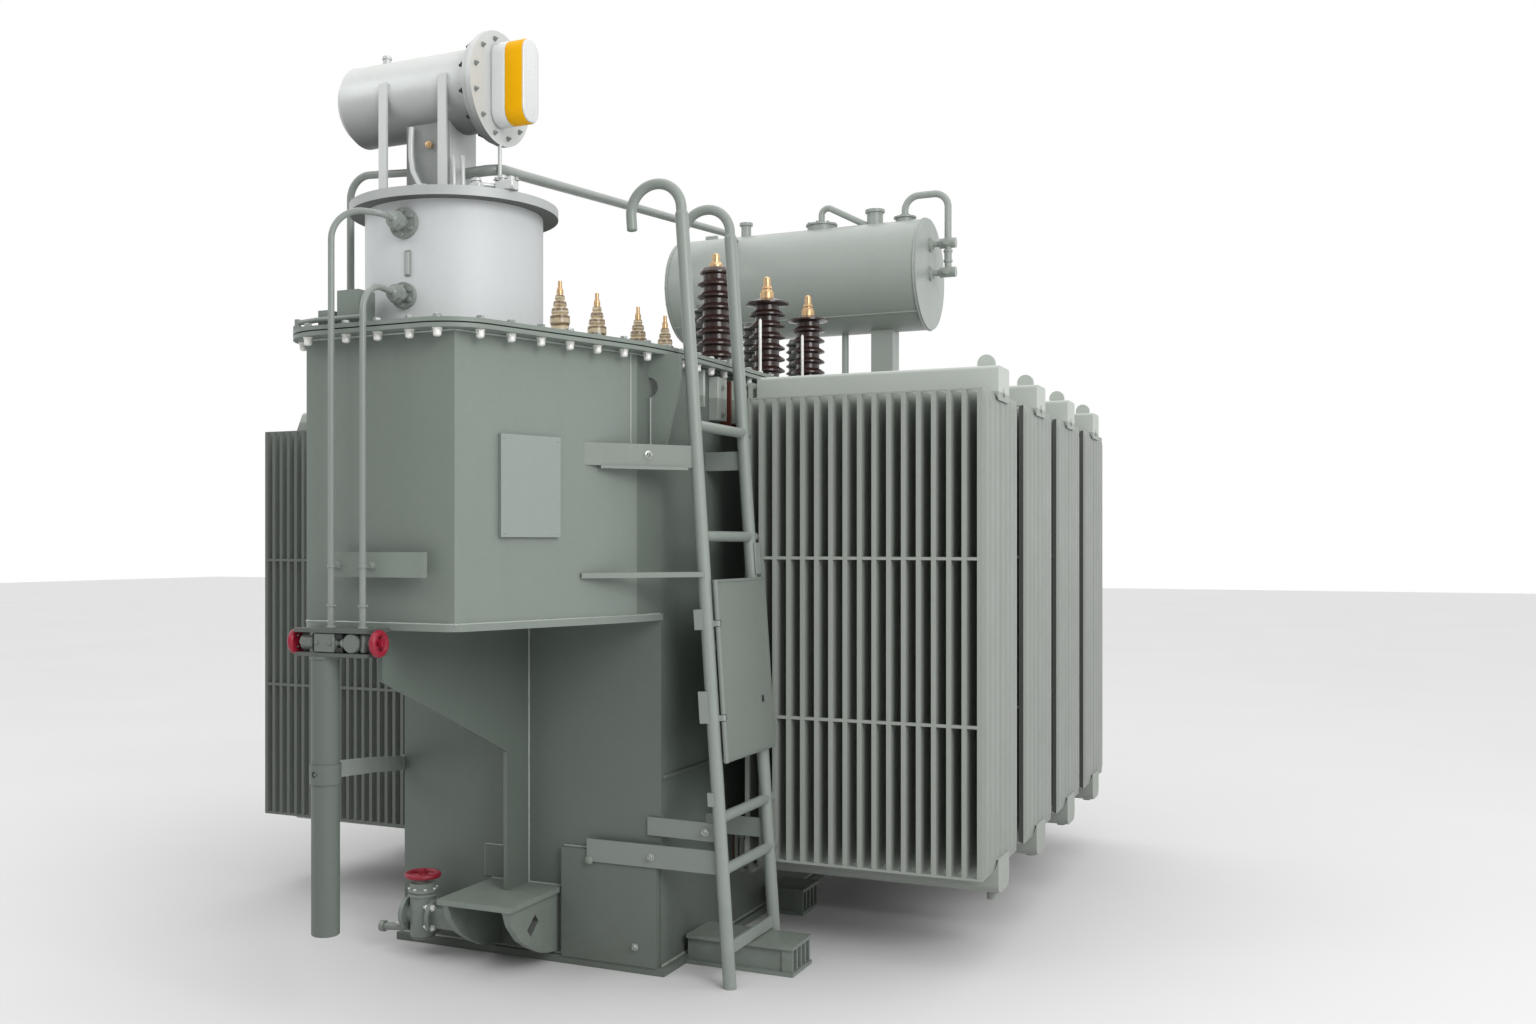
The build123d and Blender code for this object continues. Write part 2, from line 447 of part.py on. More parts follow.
HINGE = LP.from_local_coords(Vector(HX, HY, 985.0))


def flat_bar(p0, p1, z0, z1, t):
    dx, dy = p1[0] - p0[0], p1[1] - p0[1]
    n = sqrt(dx * dx + dy * dy)
    ox, oy = -dy / n * t / 2, dx / n * t / 2
    f = make_face(Polyline((p0[0] + ox, p0[1] + oy), (p1[0] + ox, p1[1] + oy), (p1[0] - ox, p1[1] - oy), (p0[0] - ox, p0[1] - oy), close=True))
    return Pos(0, 0, z0) * extrude(f, z1 - z0)


def sx_at(z):
    return LAD_X - z * tan(la)


cut = tank_upper + tank_lower + earth_box + stile_near + stile_far
bars = []
for b in (flat_bar((246, -1469), (sx_at(386), -1469), 349, 422, 8),
          flat_bar((456, -1445), (sx_at(485) - 2, -1460), 448, 506, 8),
          flat_bar((400, -1800), (sx_at(1668), -1474), 1625, 1694, 8) + flat_bar((430, -1736), (sx_at(1660) - 30, -1500), 1616, 1626, 46),
          flat_bar((400, -1800), (sx_at(1290), -1474), 1282, 1298, 40),
          flat_bar((480, -1082), (sx_at(1668), -1080), 1636, 1700, 8),
          flat_bar((480, -1082), (sx_at(430), -1080), 395, 459, 8)):
    q = b - cut
    bars.append(max(q.solids(), key=lambda s: s.volume))
ladder_brackets = Compound(bars)

# ---- write every piece --------------------------------------------------------------
save("base_plate", base_plate)
save("base_beams", several(base_beam_front, base_beam_rear))
save("tank_lower", tank_lower)
save("tank_upper", tank_upper)
save("pocket_floor", pocket_floor)
save("pocket_gusset", pocket_gusset)
save("tank_flange", tank_flange)
save("cover_gasket", cover_gasket)
save("tank_cover", tank_cover)
save("jacking_pads", jacking_pads)
save("earth_box", earth_box)
save("lifting_lugs", lifting_lugs)
save("nameplate", nameplate)
save("radiators_right", several(*radiators))
save("radiators_left", several(*radiators_l))
save("radiator_valves_right", rad_pipes)
save("radiator_valves_left", rad_pipes_l)
save("switch_head", switch_head)
save("switch_lid", switch_lid)
save("switch_drum", drum + drum_flange)
save("gauge_cap", gauge_cap)
save("drum_supports", several(pedestal, drum_straps))
save("pipe_tap_upper", pipe_tap_upper + stub_hi)
save("pipe_tap_lower", pipe_tap_lower + stub_lo)
save("pipe_bracket", pipe_bracket)
save("pipe_vent", pipe_vent + vent_foot)
save("cover_box", cover_box)
save("pipe_equaliser", pipe_equaliser)
save("valve_shelf", fuse(valve_shelf, shelf_valves))
save("wheel_left", wheel_left)
save("wheel_right", wheel_right)
save("drop_tube", drop_tube)
save("tube_strap", tube_strap)
save("drain_valve", drain_valve)
save("wheel_drain", wheel_drain)
save("conservator_shell", con_shell)
save("conservator_ends", several(con_end_left, con_end_right))
save("conservator_supports", several(con_posts, relay))
save("conservator_stubs", fuse(con_stubs, pipe_breather))
save("pipe_level", pipe_level)
save("hv_bushings", hv_bushings)
save("lv_bushings", lv_bushings)
save("bushing_terminals", several(hv_terminals, lv_terminals))
save("bushing_flanges", bushing_flanges)
save("aux_bushings", aux_bushings)
save("ladder_stiles", several(fuse(stile_near, gate_hinge_ears), stile_far))
save("ladder_hooks", ladder_hooks)
save("ladder_rungs", ladder_rungs)
save("ladder_gate", ladder_gate)
save("ladder_brackets", ladder_brackets)
print("hinge", [round(v, 3) for v in HINGE])
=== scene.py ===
import bpy, bmesh, json, math, random
from math import sin, cos, tan, radians, pi, sqrt
from mathutils import Vector, Matrix


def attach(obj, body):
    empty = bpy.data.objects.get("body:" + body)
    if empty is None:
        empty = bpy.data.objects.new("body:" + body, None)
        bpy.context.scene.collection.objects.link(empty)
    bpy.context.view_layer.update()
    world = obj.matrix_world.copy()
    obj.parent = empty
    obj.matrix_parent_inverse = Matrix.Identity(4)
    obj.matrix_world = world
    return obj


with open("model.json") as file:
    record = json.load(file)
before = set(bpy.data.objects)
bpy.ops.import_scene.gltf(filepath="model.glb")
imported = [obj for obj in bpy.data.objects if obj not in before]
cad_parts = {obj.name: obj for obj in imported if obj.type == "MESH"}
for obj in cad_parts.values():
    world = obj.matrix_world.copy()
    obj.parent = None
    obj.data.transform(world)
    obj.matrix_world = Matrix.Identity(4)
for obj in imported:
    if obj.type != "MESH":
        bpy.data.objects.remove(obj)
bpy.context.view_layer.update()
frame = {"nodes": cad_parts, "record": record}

N = frame["nodes"]
random.seed(7)
MM = 0.001

# ------------------------------------------------------------------ camera
cam_data = bpy.data.cameras.new("camera")
cam_data.sensor_width = 36.0
cam_data.sensor_fit = "HORIZONTAL"
cam_data.lens = 1430.56 / 1536.0 * 36.0
cam_data.shift_x = (768.0 - 674.36) / 1536.0
cam_data.shift_y = (543.16 - 512.0) / 1536.0
cam_data.clip_end = 200.0
camera = bpy.data.objects.new("camera", cam_data)
camera.location = (2.501, -5.582, 1.388)
camera.rotation_euler = (radians(90.0), 0.0, radians(25.25))
bpy.context.scene.collection.objects.link(camera)
bpy.context.scene.camera = camera


# ------------------------------------------------------------------ materials
def new_mat(name):
    m = bpy.data.materials.new(name)
    m.use_nodes = True
    nt = m.node_tree
    nt.nodes.clear()
    out = nt.nodes.new("ShaderNodeOutputMaterial")
    bsdf = nt.nodes.new("ShaderNodeBsdfPrincipled")
    nt.links.new(bsdf.outputs[0], out.inputs[0])
    return m, nt, bsdf


def nd(nt, kind, **sock):
    n = nt.nodes.new(kind)
    for k, v in sock.items():
        n.inputs[k].default_value = v
    return n


def noise(nt, vec, scale, detail=4.0, rough=0.55):
    n = nd(nt, "ShaderNodeTexNoise", Scale=scale, Detail=detail, Roughness=rough)
    nt.links.new(vec, n.inputs["Vector"])
    return n.outputs["Fac"]


def ramp(nt, fac, lo, hi, a=(0, 0, 0, 1), b=(1, 1, 1, 1)):
    r = nt.nodes.new("ShaderNodeValToRGB")
    r.color_ramp.elements[0].position = lo
    r.color_ramp.elements[1].position = hi
    r.color_ramp.elements[0].color = a
    r.color_ramp.elements[1].color = b
    nt.links.new(fac, r.inputs[0])
    return r.outputs[0]


def maprange(nt, fac, a, b, c, d):
    m = nt.nodes.new("ShaderNodeMapRange")
    m.inputs["From Min"].default_value = a
    m.inputs["From Max"].default_value = b
    m.inputs["To Min"].default_value = c
    m.inputs["To Max"].default_value = d
    nt.links.new(fac, m.inputs["Value"])
    return m.outputs["Result"]


def mix(nt, fac, a, b, mode="MIX"):
    m = nt.nodes.new("ShaderNodeMix")
    m.data_type = "RGBA"
    m.blend_type = mode
    m.clamp_factor = True
    if isinstance(fac, (int, float)):
        m.inputs[0].default_value = fac
    else:
        nt.links.new(fac, m.inputs[0])
    for i, v in ((6, a), (7, b)):
        if isinstance(v, tuple):
            m.inputs[i].default_value = v
        else:
            nt.links.new(v, m.inputs[i])
    return m.outputs[2]


def coords(nt, scale=(1, 1, 1)):
    tc = nt.nodes.new("ShaderNodeTexCoord")
    if scale == (1, 1, 1):
        return tc.outputs["Object"]
    mp = nt.nodes.new("ShaderNodeMapping")
    mp.inputs["Scale"].default_value = scale
    nt.links.new(tc.outputs["Object"], mp.inputs["Vector"])
    return mp.outputs["Vector"]


def mul(nt, a, b):
    m = nt.nodes.new("ShaderNodeMath")
    m.operation = "MULTIPLY"
    for i, v in ((0, a), (1, b)):
        if isinstance(v, (int, float)):
            m.inputs[i].default_value = v
        else:
            nt.links.new(v, m.inputs[i])
    return m.outputs[0]


def c4(c, k=1.0):
    return (c[0] * k, c[1] * k, c[2] * k, 1.0)


def paint(name, col, rough=0.42, var=0.10, peel=0.05, wave=0.0, dust=0.10, grime=0.35, streak=0.10, metallic=0.0, coat=0.0, spec=0.42, top=None, under=0.0, side=0.0):
    """Sprayed enamel on steel: cloudy tone, rain streaks, dust on upward faces, splash dirt low down, orange peel;
    under darkens faces that look down and side darkens faces that look towards +x, both painted shade, and top gives a
    lighter colour above a height, painted light.
    """
    m, nt, b = new_mat(name)
    o = coords(nt)
    cloud = noise(nt, o, 1.7, 5.0, 0.6)
    base = mix(nt, cloud, c4(col, 1.0 - var), c4(col, 1.0 + var))
    fine = noise(nt, o, 46.0, 3.0, 0.6)
    base = mix(nt, maprange(nt, fine, 0.3, 0.7, 0.0, 0.22), base, c4(col, 0.86))
    st = noise(nt, coords(nt, (11.0, 11.0, 0.55)), 1.0, 5.0, 0.62)
    base = mix(nt, maprange(nt, st, 0.52, 0.78, 0.0, streak), base, c4(col, 0.55))
    geo = nt.nodes.new("ShaderNodeNewGeometry")
    sep = nt.nodes.new("ShaderNodeSeparateXYZ")
    nt.links.new(geo.outputs["Normal"], sep.inputs[0])
    up = maprange(nt, sep.outputs[2], 0.55, 1.0, 0.0, dust)
    base = mix(nt, mul(nt, up, maprange(nt, noise(nt, o, 9.0, 4.0), 0.3, 0.7, 0.3, 1.0)), base, (0.46, 0.45, 0.41, 1.0))
    pos = nt.nodes.new("ShaderNodeSeparateXYZ")
    nt.links.new(o, pos.inputs[0])
    low = maprange(nt, pos.outputs[2], 0.0, 0.42, grime, 0.0)
    base = mix(nt, mul(nt, low, maprange(nt, noise(nt, o, 14.0, 6.0, 0.65), 0.35, 0.65, 0.15, 1.0)), base, (0.105, 0.105, 0.09, 1.0))
    # painted shade: faces that look down are darkened
    if under:
        base = mix(nt, maprange(nt, sep.outputs[2], 0.0, -1.0, 0.0, under), base, c4(col, 0.16))
    # painted shade: darker towards the faces that look along +x
    if side:
        base = mix(nt, maprange(nt, sep.outputs[0], -0.6, 1.0, 0.0, side), base, c4(col, 0.5))
    # painted light: a lighter colour above the given height
    if top:
        base = mix(nt, maprange(nt, pos.outputs[2], top[0], top[0] + 0.004, 0.0, 1.0), base, mix(nt, cloud, c4(top[1], 1.0 - var), c4(top[1], 1.0 + var)))
    nt.links.new(base, b.inputs["Base Color"])
    nt.links.new(maprange(nt, noise(nt, o, 5.5, 4.0), 0.3, 0.7, rough - 0.05, rough + 0.08), b.inputs["Roughness"])
    b.inputs["Metallic"].default_value = metallic
    b.inputs["Specular IOR Level"].default_value = spec
    if coat:
        b.inputs["Coat Weight"].default_value = coat
        b.inputs["Coat Roughness"].default_value = 0.22
    bump = nd(nt, "ShaderNodeBump", Strength=peel, Distance=0.0012)
    nt.links.new(noise(nt, o, 240.0, 2.0), bump.inputs["Height"])
    last = bump
    if wave:
        b2 = nd(nt, "ShaderNodeBump", Strength=wave, Distance=0.02)
        nt.links.new(noise(nt, o, 2.3, 2.0, 0.4), b2.inputs["Height"])
        nt.links.new(bump.outputs[0], b2.inputs["Normal"])
        last = b2
    nt.links.new(last.outputs[0], b.inputs["Normal"])
    return m


def metal(name, col, rough=0.34, var=0.15, scale=30.0, metallic=1.0, dirt=(0.08, 0.07, 0.05, 1.0), dirt_amt=0.35):
    m, nt, b = new_mat(name)
    o = coords(nt)
    base = mix(nt, noise(nt, o, scale, 5.0), c4(col, 1.0 - var), c4(col, 1.0 + var))
    base = mix(nt, maprange(nt, noise(nt, o, scale * 2.2, 5.0, 0.7), 0.55, 0.75, 0.0, dirt_amt), base, dirt)
    nt.links.new(base, b.inputs["Base Color"])
    b.inputs["Metallic"].default_value = metallic
    nt.links.new(maprange(nt, noise(nt, o, scale * 1.4, 4.0), 0.3, 0.7, rough - 0.08, rough + 0.12), b.inputs["Roughness"])
    bump = nd(nt, "ShaderNodeBump", Strength=0.12, Distance=0.0008)
    nt.links.new(noise(nt, o, scale * 6.0, 3.0), bump.inputs["Height"])
    nt.links.new(bump.outputs[0], b.inputs["Normal"])
    return m


def glaze(name, col, spot, rough=0.18, amount=0.5, bands=0.0, coat=0.35):
    m, nt, b = new_mat(name)
    o = coords(nt)
    base = mix(nt, noise(nt, o, 12.0, 5.0, 0.6), c4(col, 0.75), c4(col, 1.3))
    base = mix(nt, maprange(nt, noise(nt, o, 34.0, 6.0, 0.7), 0.5, 0.72, 0.0, amount), base, spot)
    if bands:
        wv = nt.nodes.new("ShaderNodeTexWave")
        wv.wave_type, wv.bands_direction = "BANDS", "Z"
        wv.inputs["Scale"].default_value = bands
        wv.inputs["Distortion"].default_value = 2.2
        wv.inputs["Detail"].default_value = 3.0
        wv.inputs["Detail Scale"].default_value = 2.0
        nt.links.new(o, wv.inputs["Vector"])
        base = mix(nt, maprange(nt, wv.outputs["Fac"], 0.42, 0.12, 0.0, 0.85), base, spot)
    nt.links.new(base, b.inputs["Base Color"])
    nt.links.new(maprange(nt, noise(nt, o, 22.0, 3.0), 0.3, 0.7, rough, rough + 0.14), b.inputs["Roughness"])
    b.inputs["Coat Weight"].default_value = coat
    b.inputs["Coat Roughness"].default_value = 0.06
    bump = nd(nt, "ShaderNodeBump", Strength=0.25, Distance=0.002)
    nt.links.new(noise(nt, o, 40.0, 3.0), bump.inputs["Height"])
    nt.links.new(bump.outputs[0], b.inputs["Normal"])
    return m


M = {}
M["tank_paint"] = paint("tank_enamel", (0.190, 0.222, 0.198), rough=0.42, wave=0.10, var=0.07)
# darker copy of the tank enamel for the lower tank: painted shade
M["tank_low"] = paint("tank_enamel_low_painted_shade", (0.122, 0.147, 0.129), rough=0.46, wave=0.10, var=0.08, grime=0.5)
M["weld_paint"] = paint("weld_enamel", (0.335, 0.370, 0.342), rough=0.36, var=0.12, streak=0.05)
# lighter copy of the tank enamel for the conservator: painted light
M["conservator_paint"] = paint("conservator_enamel_painted_light", (0.335, 0.367, 0.340), rough=0.34, wave=0.06, var=0.06)
M["skin_paint"] = paint("radiator_skin_enamel", (0.232, 0.250, 0.229), rough=0.44, var=0.06, grime=0.2)
# darker copy of the radiator enamel: painted shade
M["shade_paint"] = paint("radiator_enamel_painted_shade", (0.128, 0.143, 0.128), rough=0.52, var=0.08, grime=0.25)
# the radiator headers above 1.8875 m get a lighter colour: painted light
M["radiator_paint"] = paint("radiator_enamel", (0.290, 0.312, 0.286), rough=0.44, var=0.06, grime=0.2, top=(1.8875, (0.43, 0.465, 0.43)))
M["pipe_paint"] = paint("pipe_enamel", (0.225, 0.248, 0.230), rough=0.32, var=0.07, streak=0.05, coat=0.15)
M["ladder_paint"] = paint("ladder_enamel", (0.255, 0.285, 0.262), rough=0.36, var=0.07, grime=0.3)
# darker copy of the tank enamel for the drop tube: painted shade
M["tube_paint"] = paint("drop_tube_enamel_painted_shade", (0.112, 0.133, 0.118), rough=0.42, var=0.07, grime=0.3)
# near-black copy of the fitting enamel for the shelf plates: painted shade, with rain streaks
M["shelf_dark"] = paint("shelf_enamel_streaked_painted_shade", (0.085, 0.098, 0.088), rough=0.5, var=0.2, streak=0.4)
M["fitting_paint"] = paint("fitting_enamel", (0.210, 0.236, 0.214), rough=0.38, var=0.08)
# the head's side darkening is painted shade
M["head_paint"] = paint("head_silver", (0.622, 0.645, 0.648), rough=0.55, var=0.03, streak=0.05, metallic=0.12, side=0.38)
# the drum's downward faces are darkened through under: painted shade
M["drum_paint"] = paint("drum_grey", (0.550, 0.571, 0.561), rough=0.42, var=0.05, streak=0.06, metallic=0.25, under=0.90, dust=0.75)
M["lid_paint"] = paint("lid_grey", (0.40, 0.42, 0.415), rough=0.48, var=0.06, streak=0.2, metallic=0.15)
M["pedestal_paint"] = paint("pedestal_grey", (0.262, 0.278, 0.270), rough=0.45, var=0.1, streak=0.2)
# darker copy of the tank enamel for front-facing faces: painted shade
M["tank_front"] = paint("tank_enamel_front_painted_shade", (0.168, 0.197, 0.175), rough=0.42, wave=0.10, var=0.07)
# near-black copy of the radiator enamel: painted shade between radiator units
M["gap_shade_paint"] = paint("radiator_gap_painted_shade", (0.060, 0.067, 0.060), rough=0.6, var=0.1)
M["valve_paint"] = paint("valve_enamel", (0.140, 0.157, 0.144), rough=0.36, var=0.12, streak=0.2)
# lighter copy of the tank enamel for the strap arm: painted light
M["strap_paint"] = paint("strap_enamel_painted_light", (0.330, 0.360, 0.335), rough=0.42, var=0.08)
# near-black grey for recesses and undersides: painted shade
M["recess_shade"] = paint("recess_painted_shade", (0.105, 0.112, 0.108), rough=0.6, var=0.1)
# darker copy of the tank enamel for the side walls: painted shade
M["tank_side"] = paint("tank_enamel_side_painted_shade", (0.125, 0.148, 0.131), rough=0.46, wave=0.10, var=0.10)
M["gasket_black"] = metal("gasket_cork_rubber", (0.030, 0.030, 0.028), rough=0.8, metallic=0.0, scale=60.0)
M["bare_plate"] = paint("blank_plate", (0.265, 0.305, 0.282), rough=0.36, var=0.05, streak=0.04, metallic=0.2)
M["gauge_white"] = paint("gauge_white", (0.60, 0.615, 0.61), rough=0.26, var=0.03, streak=0.04, coat=0.2)
M["gauge_yellow"] = paint("gauge_yellow", (0.74, 0.375, 0.0), rough=0.40, var=0.05, streak=0.04, spec=0.12, dust=0.02)
M["porcelain_brown"] = glaze("porcelain_brown", (0.030, 0.015, 0.013), (0.085, 0.038, 0.026, 1.0), rough=0.22)
M["porcelain_grey"] = glaze("porcelain_grey", (0.07, 0.075, 0.068), (0.14, 0.14, 0.12, 1.0))
M["porcelain_tan"] = glaze("porcelain_tan", (0.52, 0.43, 0.29), (0.13, 0.075, 0.035, 1.0), rough=0.26, amount=0.8, bands=11.0)
M["terminal_brass"] = metal("terminal_brass", (0.66, 0.45, 0.25), rough=0.34, scale=50.0, metallic=0.8)
M["zinc_steel"] = metal("zinc_steel", (0.42, 0.44, 0.42), rough=0.36, scale=60.0, metallic=0.75, dirt_amt=0.5)
M["bolt_white"] = metal("bolt_bright_zinc", (0.78, 0.78, 0.75), rough=0.45, scale=70.0, metallic=0.25, dirt_amt=0.25)
M["wheel_red"] = paint("wheel_red", (0.27, 0.006, 0.024), rough=0.38, var=0.16, streak=0.2, coat=0.1, dust=0.03)
# near-black: the colour of some nuts and bolts, and painted shade where it fills slots and gaps
M["dark"] = metal("dark_metal_and_painted_shade", (0.020, 0.022, 0.020), rough=0.7, metallic=0.0)
M["seal_red"] = paint("seal_red_brown", (0.115, 0.030, 0.018), rough=0.55, var=0.15)


# ------------------------------------------------------------------ mesh builder
class Mesh:
    """Collects closed shells in millimetres and makes one joined mesh from them."""

    def __init__(self):
        self.v, self.f, self.s = [], [], []

    def add(self, verts, faces, smooth=True):
        k = len(self.v)
        self.v += [tuple(p) for p in verts]
        self.f += [tuple(i + k for i in f) for f in faces]
        self.s += [smooth] * len(faces)

    def frame(self, p, d):
        d = Vector(d).normalized()
        a = Vector((0, 0, 1)) if abs(d.z) < 0.9 else Vector((1, 0, 0))
        u = a.cross(d).normalized()
        return Vector(p), d, u, d.cross(u)

    def lathe(self, p, d, prof, seg=24, phase=0.0, smooth=True):
        """prof: (radius, height along d); radius 0 at an end closes it to a point."""
        o, d, u, w = self.frame(p, d)
        verts, rings = [], []
        for r, h in prof:
            if r <= 1e-6:
                rings.append([len(verts)])
                verts.append(o + d * h)
            else:
                rings.append(list(range(len(verts), len(verts) + seg)))
                for i in range(seg):
                    a = 2 * pi * i / seg + phase
                    verts.append(o + d * h + (u * cos(a) + w * sin(a)) * r)
        faces = []
        for a, b in zip(rings, rings[1:]):
            if len(a) == 1 and len(b) == 1:
                continue
            for i in range(seg):
                j = (i + 1) % seg
                if len(a) == 1:
                    faces.append((a[0], b[i], b[j]))
                elif len(b) == 1:
                    faces.append((a[i], b[0], a[j]))
                else:
                    faces.append((a[i], b[i], b[j], a[j]))
        faces = [tuple(reversed(f)) for f in faces]
        if len(rings[0]) > 1:
            faces.append(tuple(rings[0][::-1]))
        if len(rings[-1]) > 1:
            faces.append(tuple(rings[-1]))
        self.add(verts, faces, smooth)

    def rod(self, p, d, r, h, c=None, seg=24):
        c = min(r, h) * 0.12 if c is None else c
        self.lathe(p, d, [(r - c, 0), (r, c), (r, h - c), (r - c, h)], seg)

    def hexa(self, p, d, r, h, phase=0.0, washer=True):
        """Bolt head with washer: r is across corners / 2."""
        z = 0.0
        if washer:
            self.lathe(p, d, [(r * 1.25, 0), (r * 1.35, 0.6), (r * 1.35, 2.2), (r * 1.25, 2.8)], 20)
            z = 2.6
        self.lathe(p, d, [(r * 0.98, z), (r, z + 0.6), (r, z + h * 0.82), (r * 0.84, z + h)], 6, phase, False)

    def stud(self, p, d, r, h, phase=0.0):
        """Nut with the thread end standing out of it."""
        self.hexa(p, d, r, h, phase)
        self.lathe(Vector(p) + Vector(d).normalized() * (h + 2.0), d, [(r * 0.5, 0), (r * 0.5, r * 0.7), (r * 0.38, r * 0.9)], 12)

    def box(self, lo, hi, c=2.0, mat=None):
        """Box with chamfered edges, optionally carried by a 4x4 matrix."""
        lo, hi = Vector(lo), Vector(hi)
        c = min(c, min(hi - lo) * 0.45)
        verts, idx = [], {}
        for sx in (0, 1):
            for sy in (0, 1):
                for sz in (0, 1):
                    p = Vector((hi.x if sx else lo.x, hi.y if sy else lo.y, hi.z if sz else lo.z))
                    for ax in range(3):
                        q = p.copy()
                        for k in range(3):
                            if k != ax:
                                q[k] += -c if (sx, sy, sz)[k] else c
                        idx[(sx, sy, sz, ax)] = len(verts)
                        verts.append(q)
        F = []
        for ax in range(3):
            o1, o2 = [k for k in range(3) if k != ax]
            for s in (0, 1):
                loop = []
                for a, b in ((0, 0), (1, 0), (1, 1), (0, 1)):
                    key = [0, 0, 0]
                    key[ax], key[o1], key[o2] = s, a, b
                    loop.append(idx[(*key, ax)])
                flip = (s == 0) != (ax == 1)
                F.append(tuple(loop[::-1]) if flip else tuple(loop))
        for ax in range(3):
            o1, o2 = [k for k in range(3) if k != ax]
            for a in (0, 1):
                for b in (0, 1):
                    k0, k1 = [0, 0, 0], [0, 0, 0]
                    k0[ax], k1[ax] = 0, 1
                    k0[o1] = k1[o1] = a
                    k0[o2] = k1[o2] = b
                    q = [idx[(*k0, o1)], idx[(*k1, o1)], idx[(*k1, o2)], idx[(*k0, o2)]]
                    F.append(tuple(q))
        for sx in (0, 1):
            for sy in (0, 1):
                for sz in (0, 1):
                    F.append(tuple(idx[(sx, sy, sz, k)] for k in range(3)))
        cen = (lo + hi) / 2
        G = []
        for f in F:
            a, b, d = (verts[i] for i in f[:3])
            n = (b - a).cross(d - a)
            m = sum((verts[i] for i in f), Vector()) / len(f) - cen
            G.append(f if n.dot(m) > 0 else f[::-1])
        if mat is not None:
            verts = [mat @ p for p in verts]
        self.add(verts, G, False)

    def prism(self, pts, z0, z1, mat=None, smooth=False):
        """Closed plan outline (counter-clockwise) between two heights."""
        n = len(pts)
        verts = [Vector((p[0], p[1], z0)) for p in pts] + [Vector((p[0], p[1], z1)) for p in pts]
        faces = [tuple(range(n))[::-1], tuple(range(n, 2 * n))]
        faces += [(i, (i + 1) % n, n + (i + 1) % n, n + i) for i in range(n)]
        if mat is not None:
            verts = [mat @ p for p in verts]
        self.add(verts, faces, smooth)

    def tube(self, path, r, seg=14, caps=True, radii=None):
        """Round tube along points; frames carried along the path without twist."""
        pts = [Vector(p) for p in path]
        n = len(pts)
        t = []
        for i in range(n):
            a = pts[max(i - 1, 0)]
            b = pts[min(i + 1, n - 1)]
            t.append((b - a).normalized())
        ref = Vector((0, 0, 1)) if abs(t[0].z) < 0.9 else Vector((1, 0, 0))
        u = ref.cross(t[0]).normalized()
        verts, rings = [], []
        for i in range(n):
            if i:
                u = (u - t[i] * u.dot(t[i])).normalized()
            w = t[i].cross(u)
            rr = radii[i] if radii else r
            rings.append(list(range(len(verts), len(verts) + seg)))
            for k in range(seg):
                a = 2 * pi * k / seg
                verts.append(pts[i] + (u * cos(a) + w * sin(a)) * rr)
        faces = []
        for a, b in zip(rings, rings[1:]):
            for i in range(seg):
                j = (i + 1) % seg
                faces.append((a[i], a[j], b[j], b[i]))
        if caps:
            faces.append(tuple(rings[0][::-1]))
            faces.append(tuple(rings[-1]))
        self.add(verts, faces, True)

    def bead(self, path, r=3.2, seed=1):
        """Weld bead: a ripple tube."""
        rnd = random.Random(seed)
        pts = [Vector(p) for p in path]
        out = []
        for a, b in zip(pts, pts[1:]):
            k = max(1, int((b - a).length / 9.0))
            out += [a.lerp(b, i / k) for i in range(k)]
        out.append(pts[-1])
        rad = [r * (0.85 + 0.3 * rnd.random()) for _ in out]
        self.tube(out, r, 6, True, rad)

    def make(self, name, mat, body="main", slot=None, bevel=0.0, smooth_angle=40.0):
        me = bpy.data.meshes.new(name)
        me.from_pydata([(p[0] * MM, p[1] * MM, p[2] * MM) for p in self.v], [], self.f)
        me.update()
        bm = bmesh.new()
        bm.from_mesh(me)
        bmesh.ops.recalc_face_normals(bm, faces=bm.faces)
        bm.to_mesh(me)
        bm.free()
        for poly, s in zip(me.polygons, self.s):
            poly.use_smooth = s
        ob = bpy.data.objects.new(name, me)
        bpy.context.scene.collection.objects.link(ob)
        me.materials.append(mat if not isinstance(mat, str) else M[mat])
        if any(self.s):
            me.set_sharp_from_angle(angle=radians(smooth_angle))
        if bevel:
            bv = ob.modifiers.new("bevel", "BEVEL")
            bv.width, bv.segments, bv.limit_method, bv.angle_limit = bevel * MM, 2, "ANGLE", radians(35)
        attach(ob, body)
        return ob


def arc(c, r, a0, a1, n, plane):
    """Points of an arc in a plane given by two unit vectors."""
    c, e1, e2 = Vector(c), Vector(plane[0]), Vector(plane[1])
    return [c + (e1 * cos(a) + e2 * sin(a)) * r for a in [a0 + (a1 - a0) * i / n for i in range(n + 1)]]


# ------------------------------------------------------------------ CAD nodes: finish
SLOT = {s["node"]: s["material_slot"] for s in frame["record"]["subparts"]}
# the lower tank, pocket gusset, earth box and base plate take the darker tank_low paint: painted shade
LOOK = {"switch_lid": "lid_paint", "tank_lower": "tank_low", "pocket_gusset": "tank_low", "earth_box": "tank_low", "base_plate": "tank_low", "ladder_stiles": "ladder_paint", "ladder_hooks": "ladder_paint", "ladder_rungs": "ladder_paint",
        "drop_tube": "tube_paint", "tube_strap": "tube_paint", "pipe_tap_upper": "pipe_paint", "pipe_tap_lower": "pipe_paint", "pipe_vent": "pipe_paint", "pipe_equaliser": "pipe_paint", "valve_shelf": "pipe_paint", "conservator_shell": "conservator_paint",
        "conservator_ends": "conservator_paint", "conservator_supports": "conservator_paint", "conservator_stubs": "conservator_paint", "pipe_level": "conservator_paint"}
for name, ob in N.items():
    mat = M[LOOK.get(name, SLOT[name])]
    ob.data.materials.clear()
    ob.data.materials.append(mat)
    for p in ob.data.polygons:
        p.material_index = 0


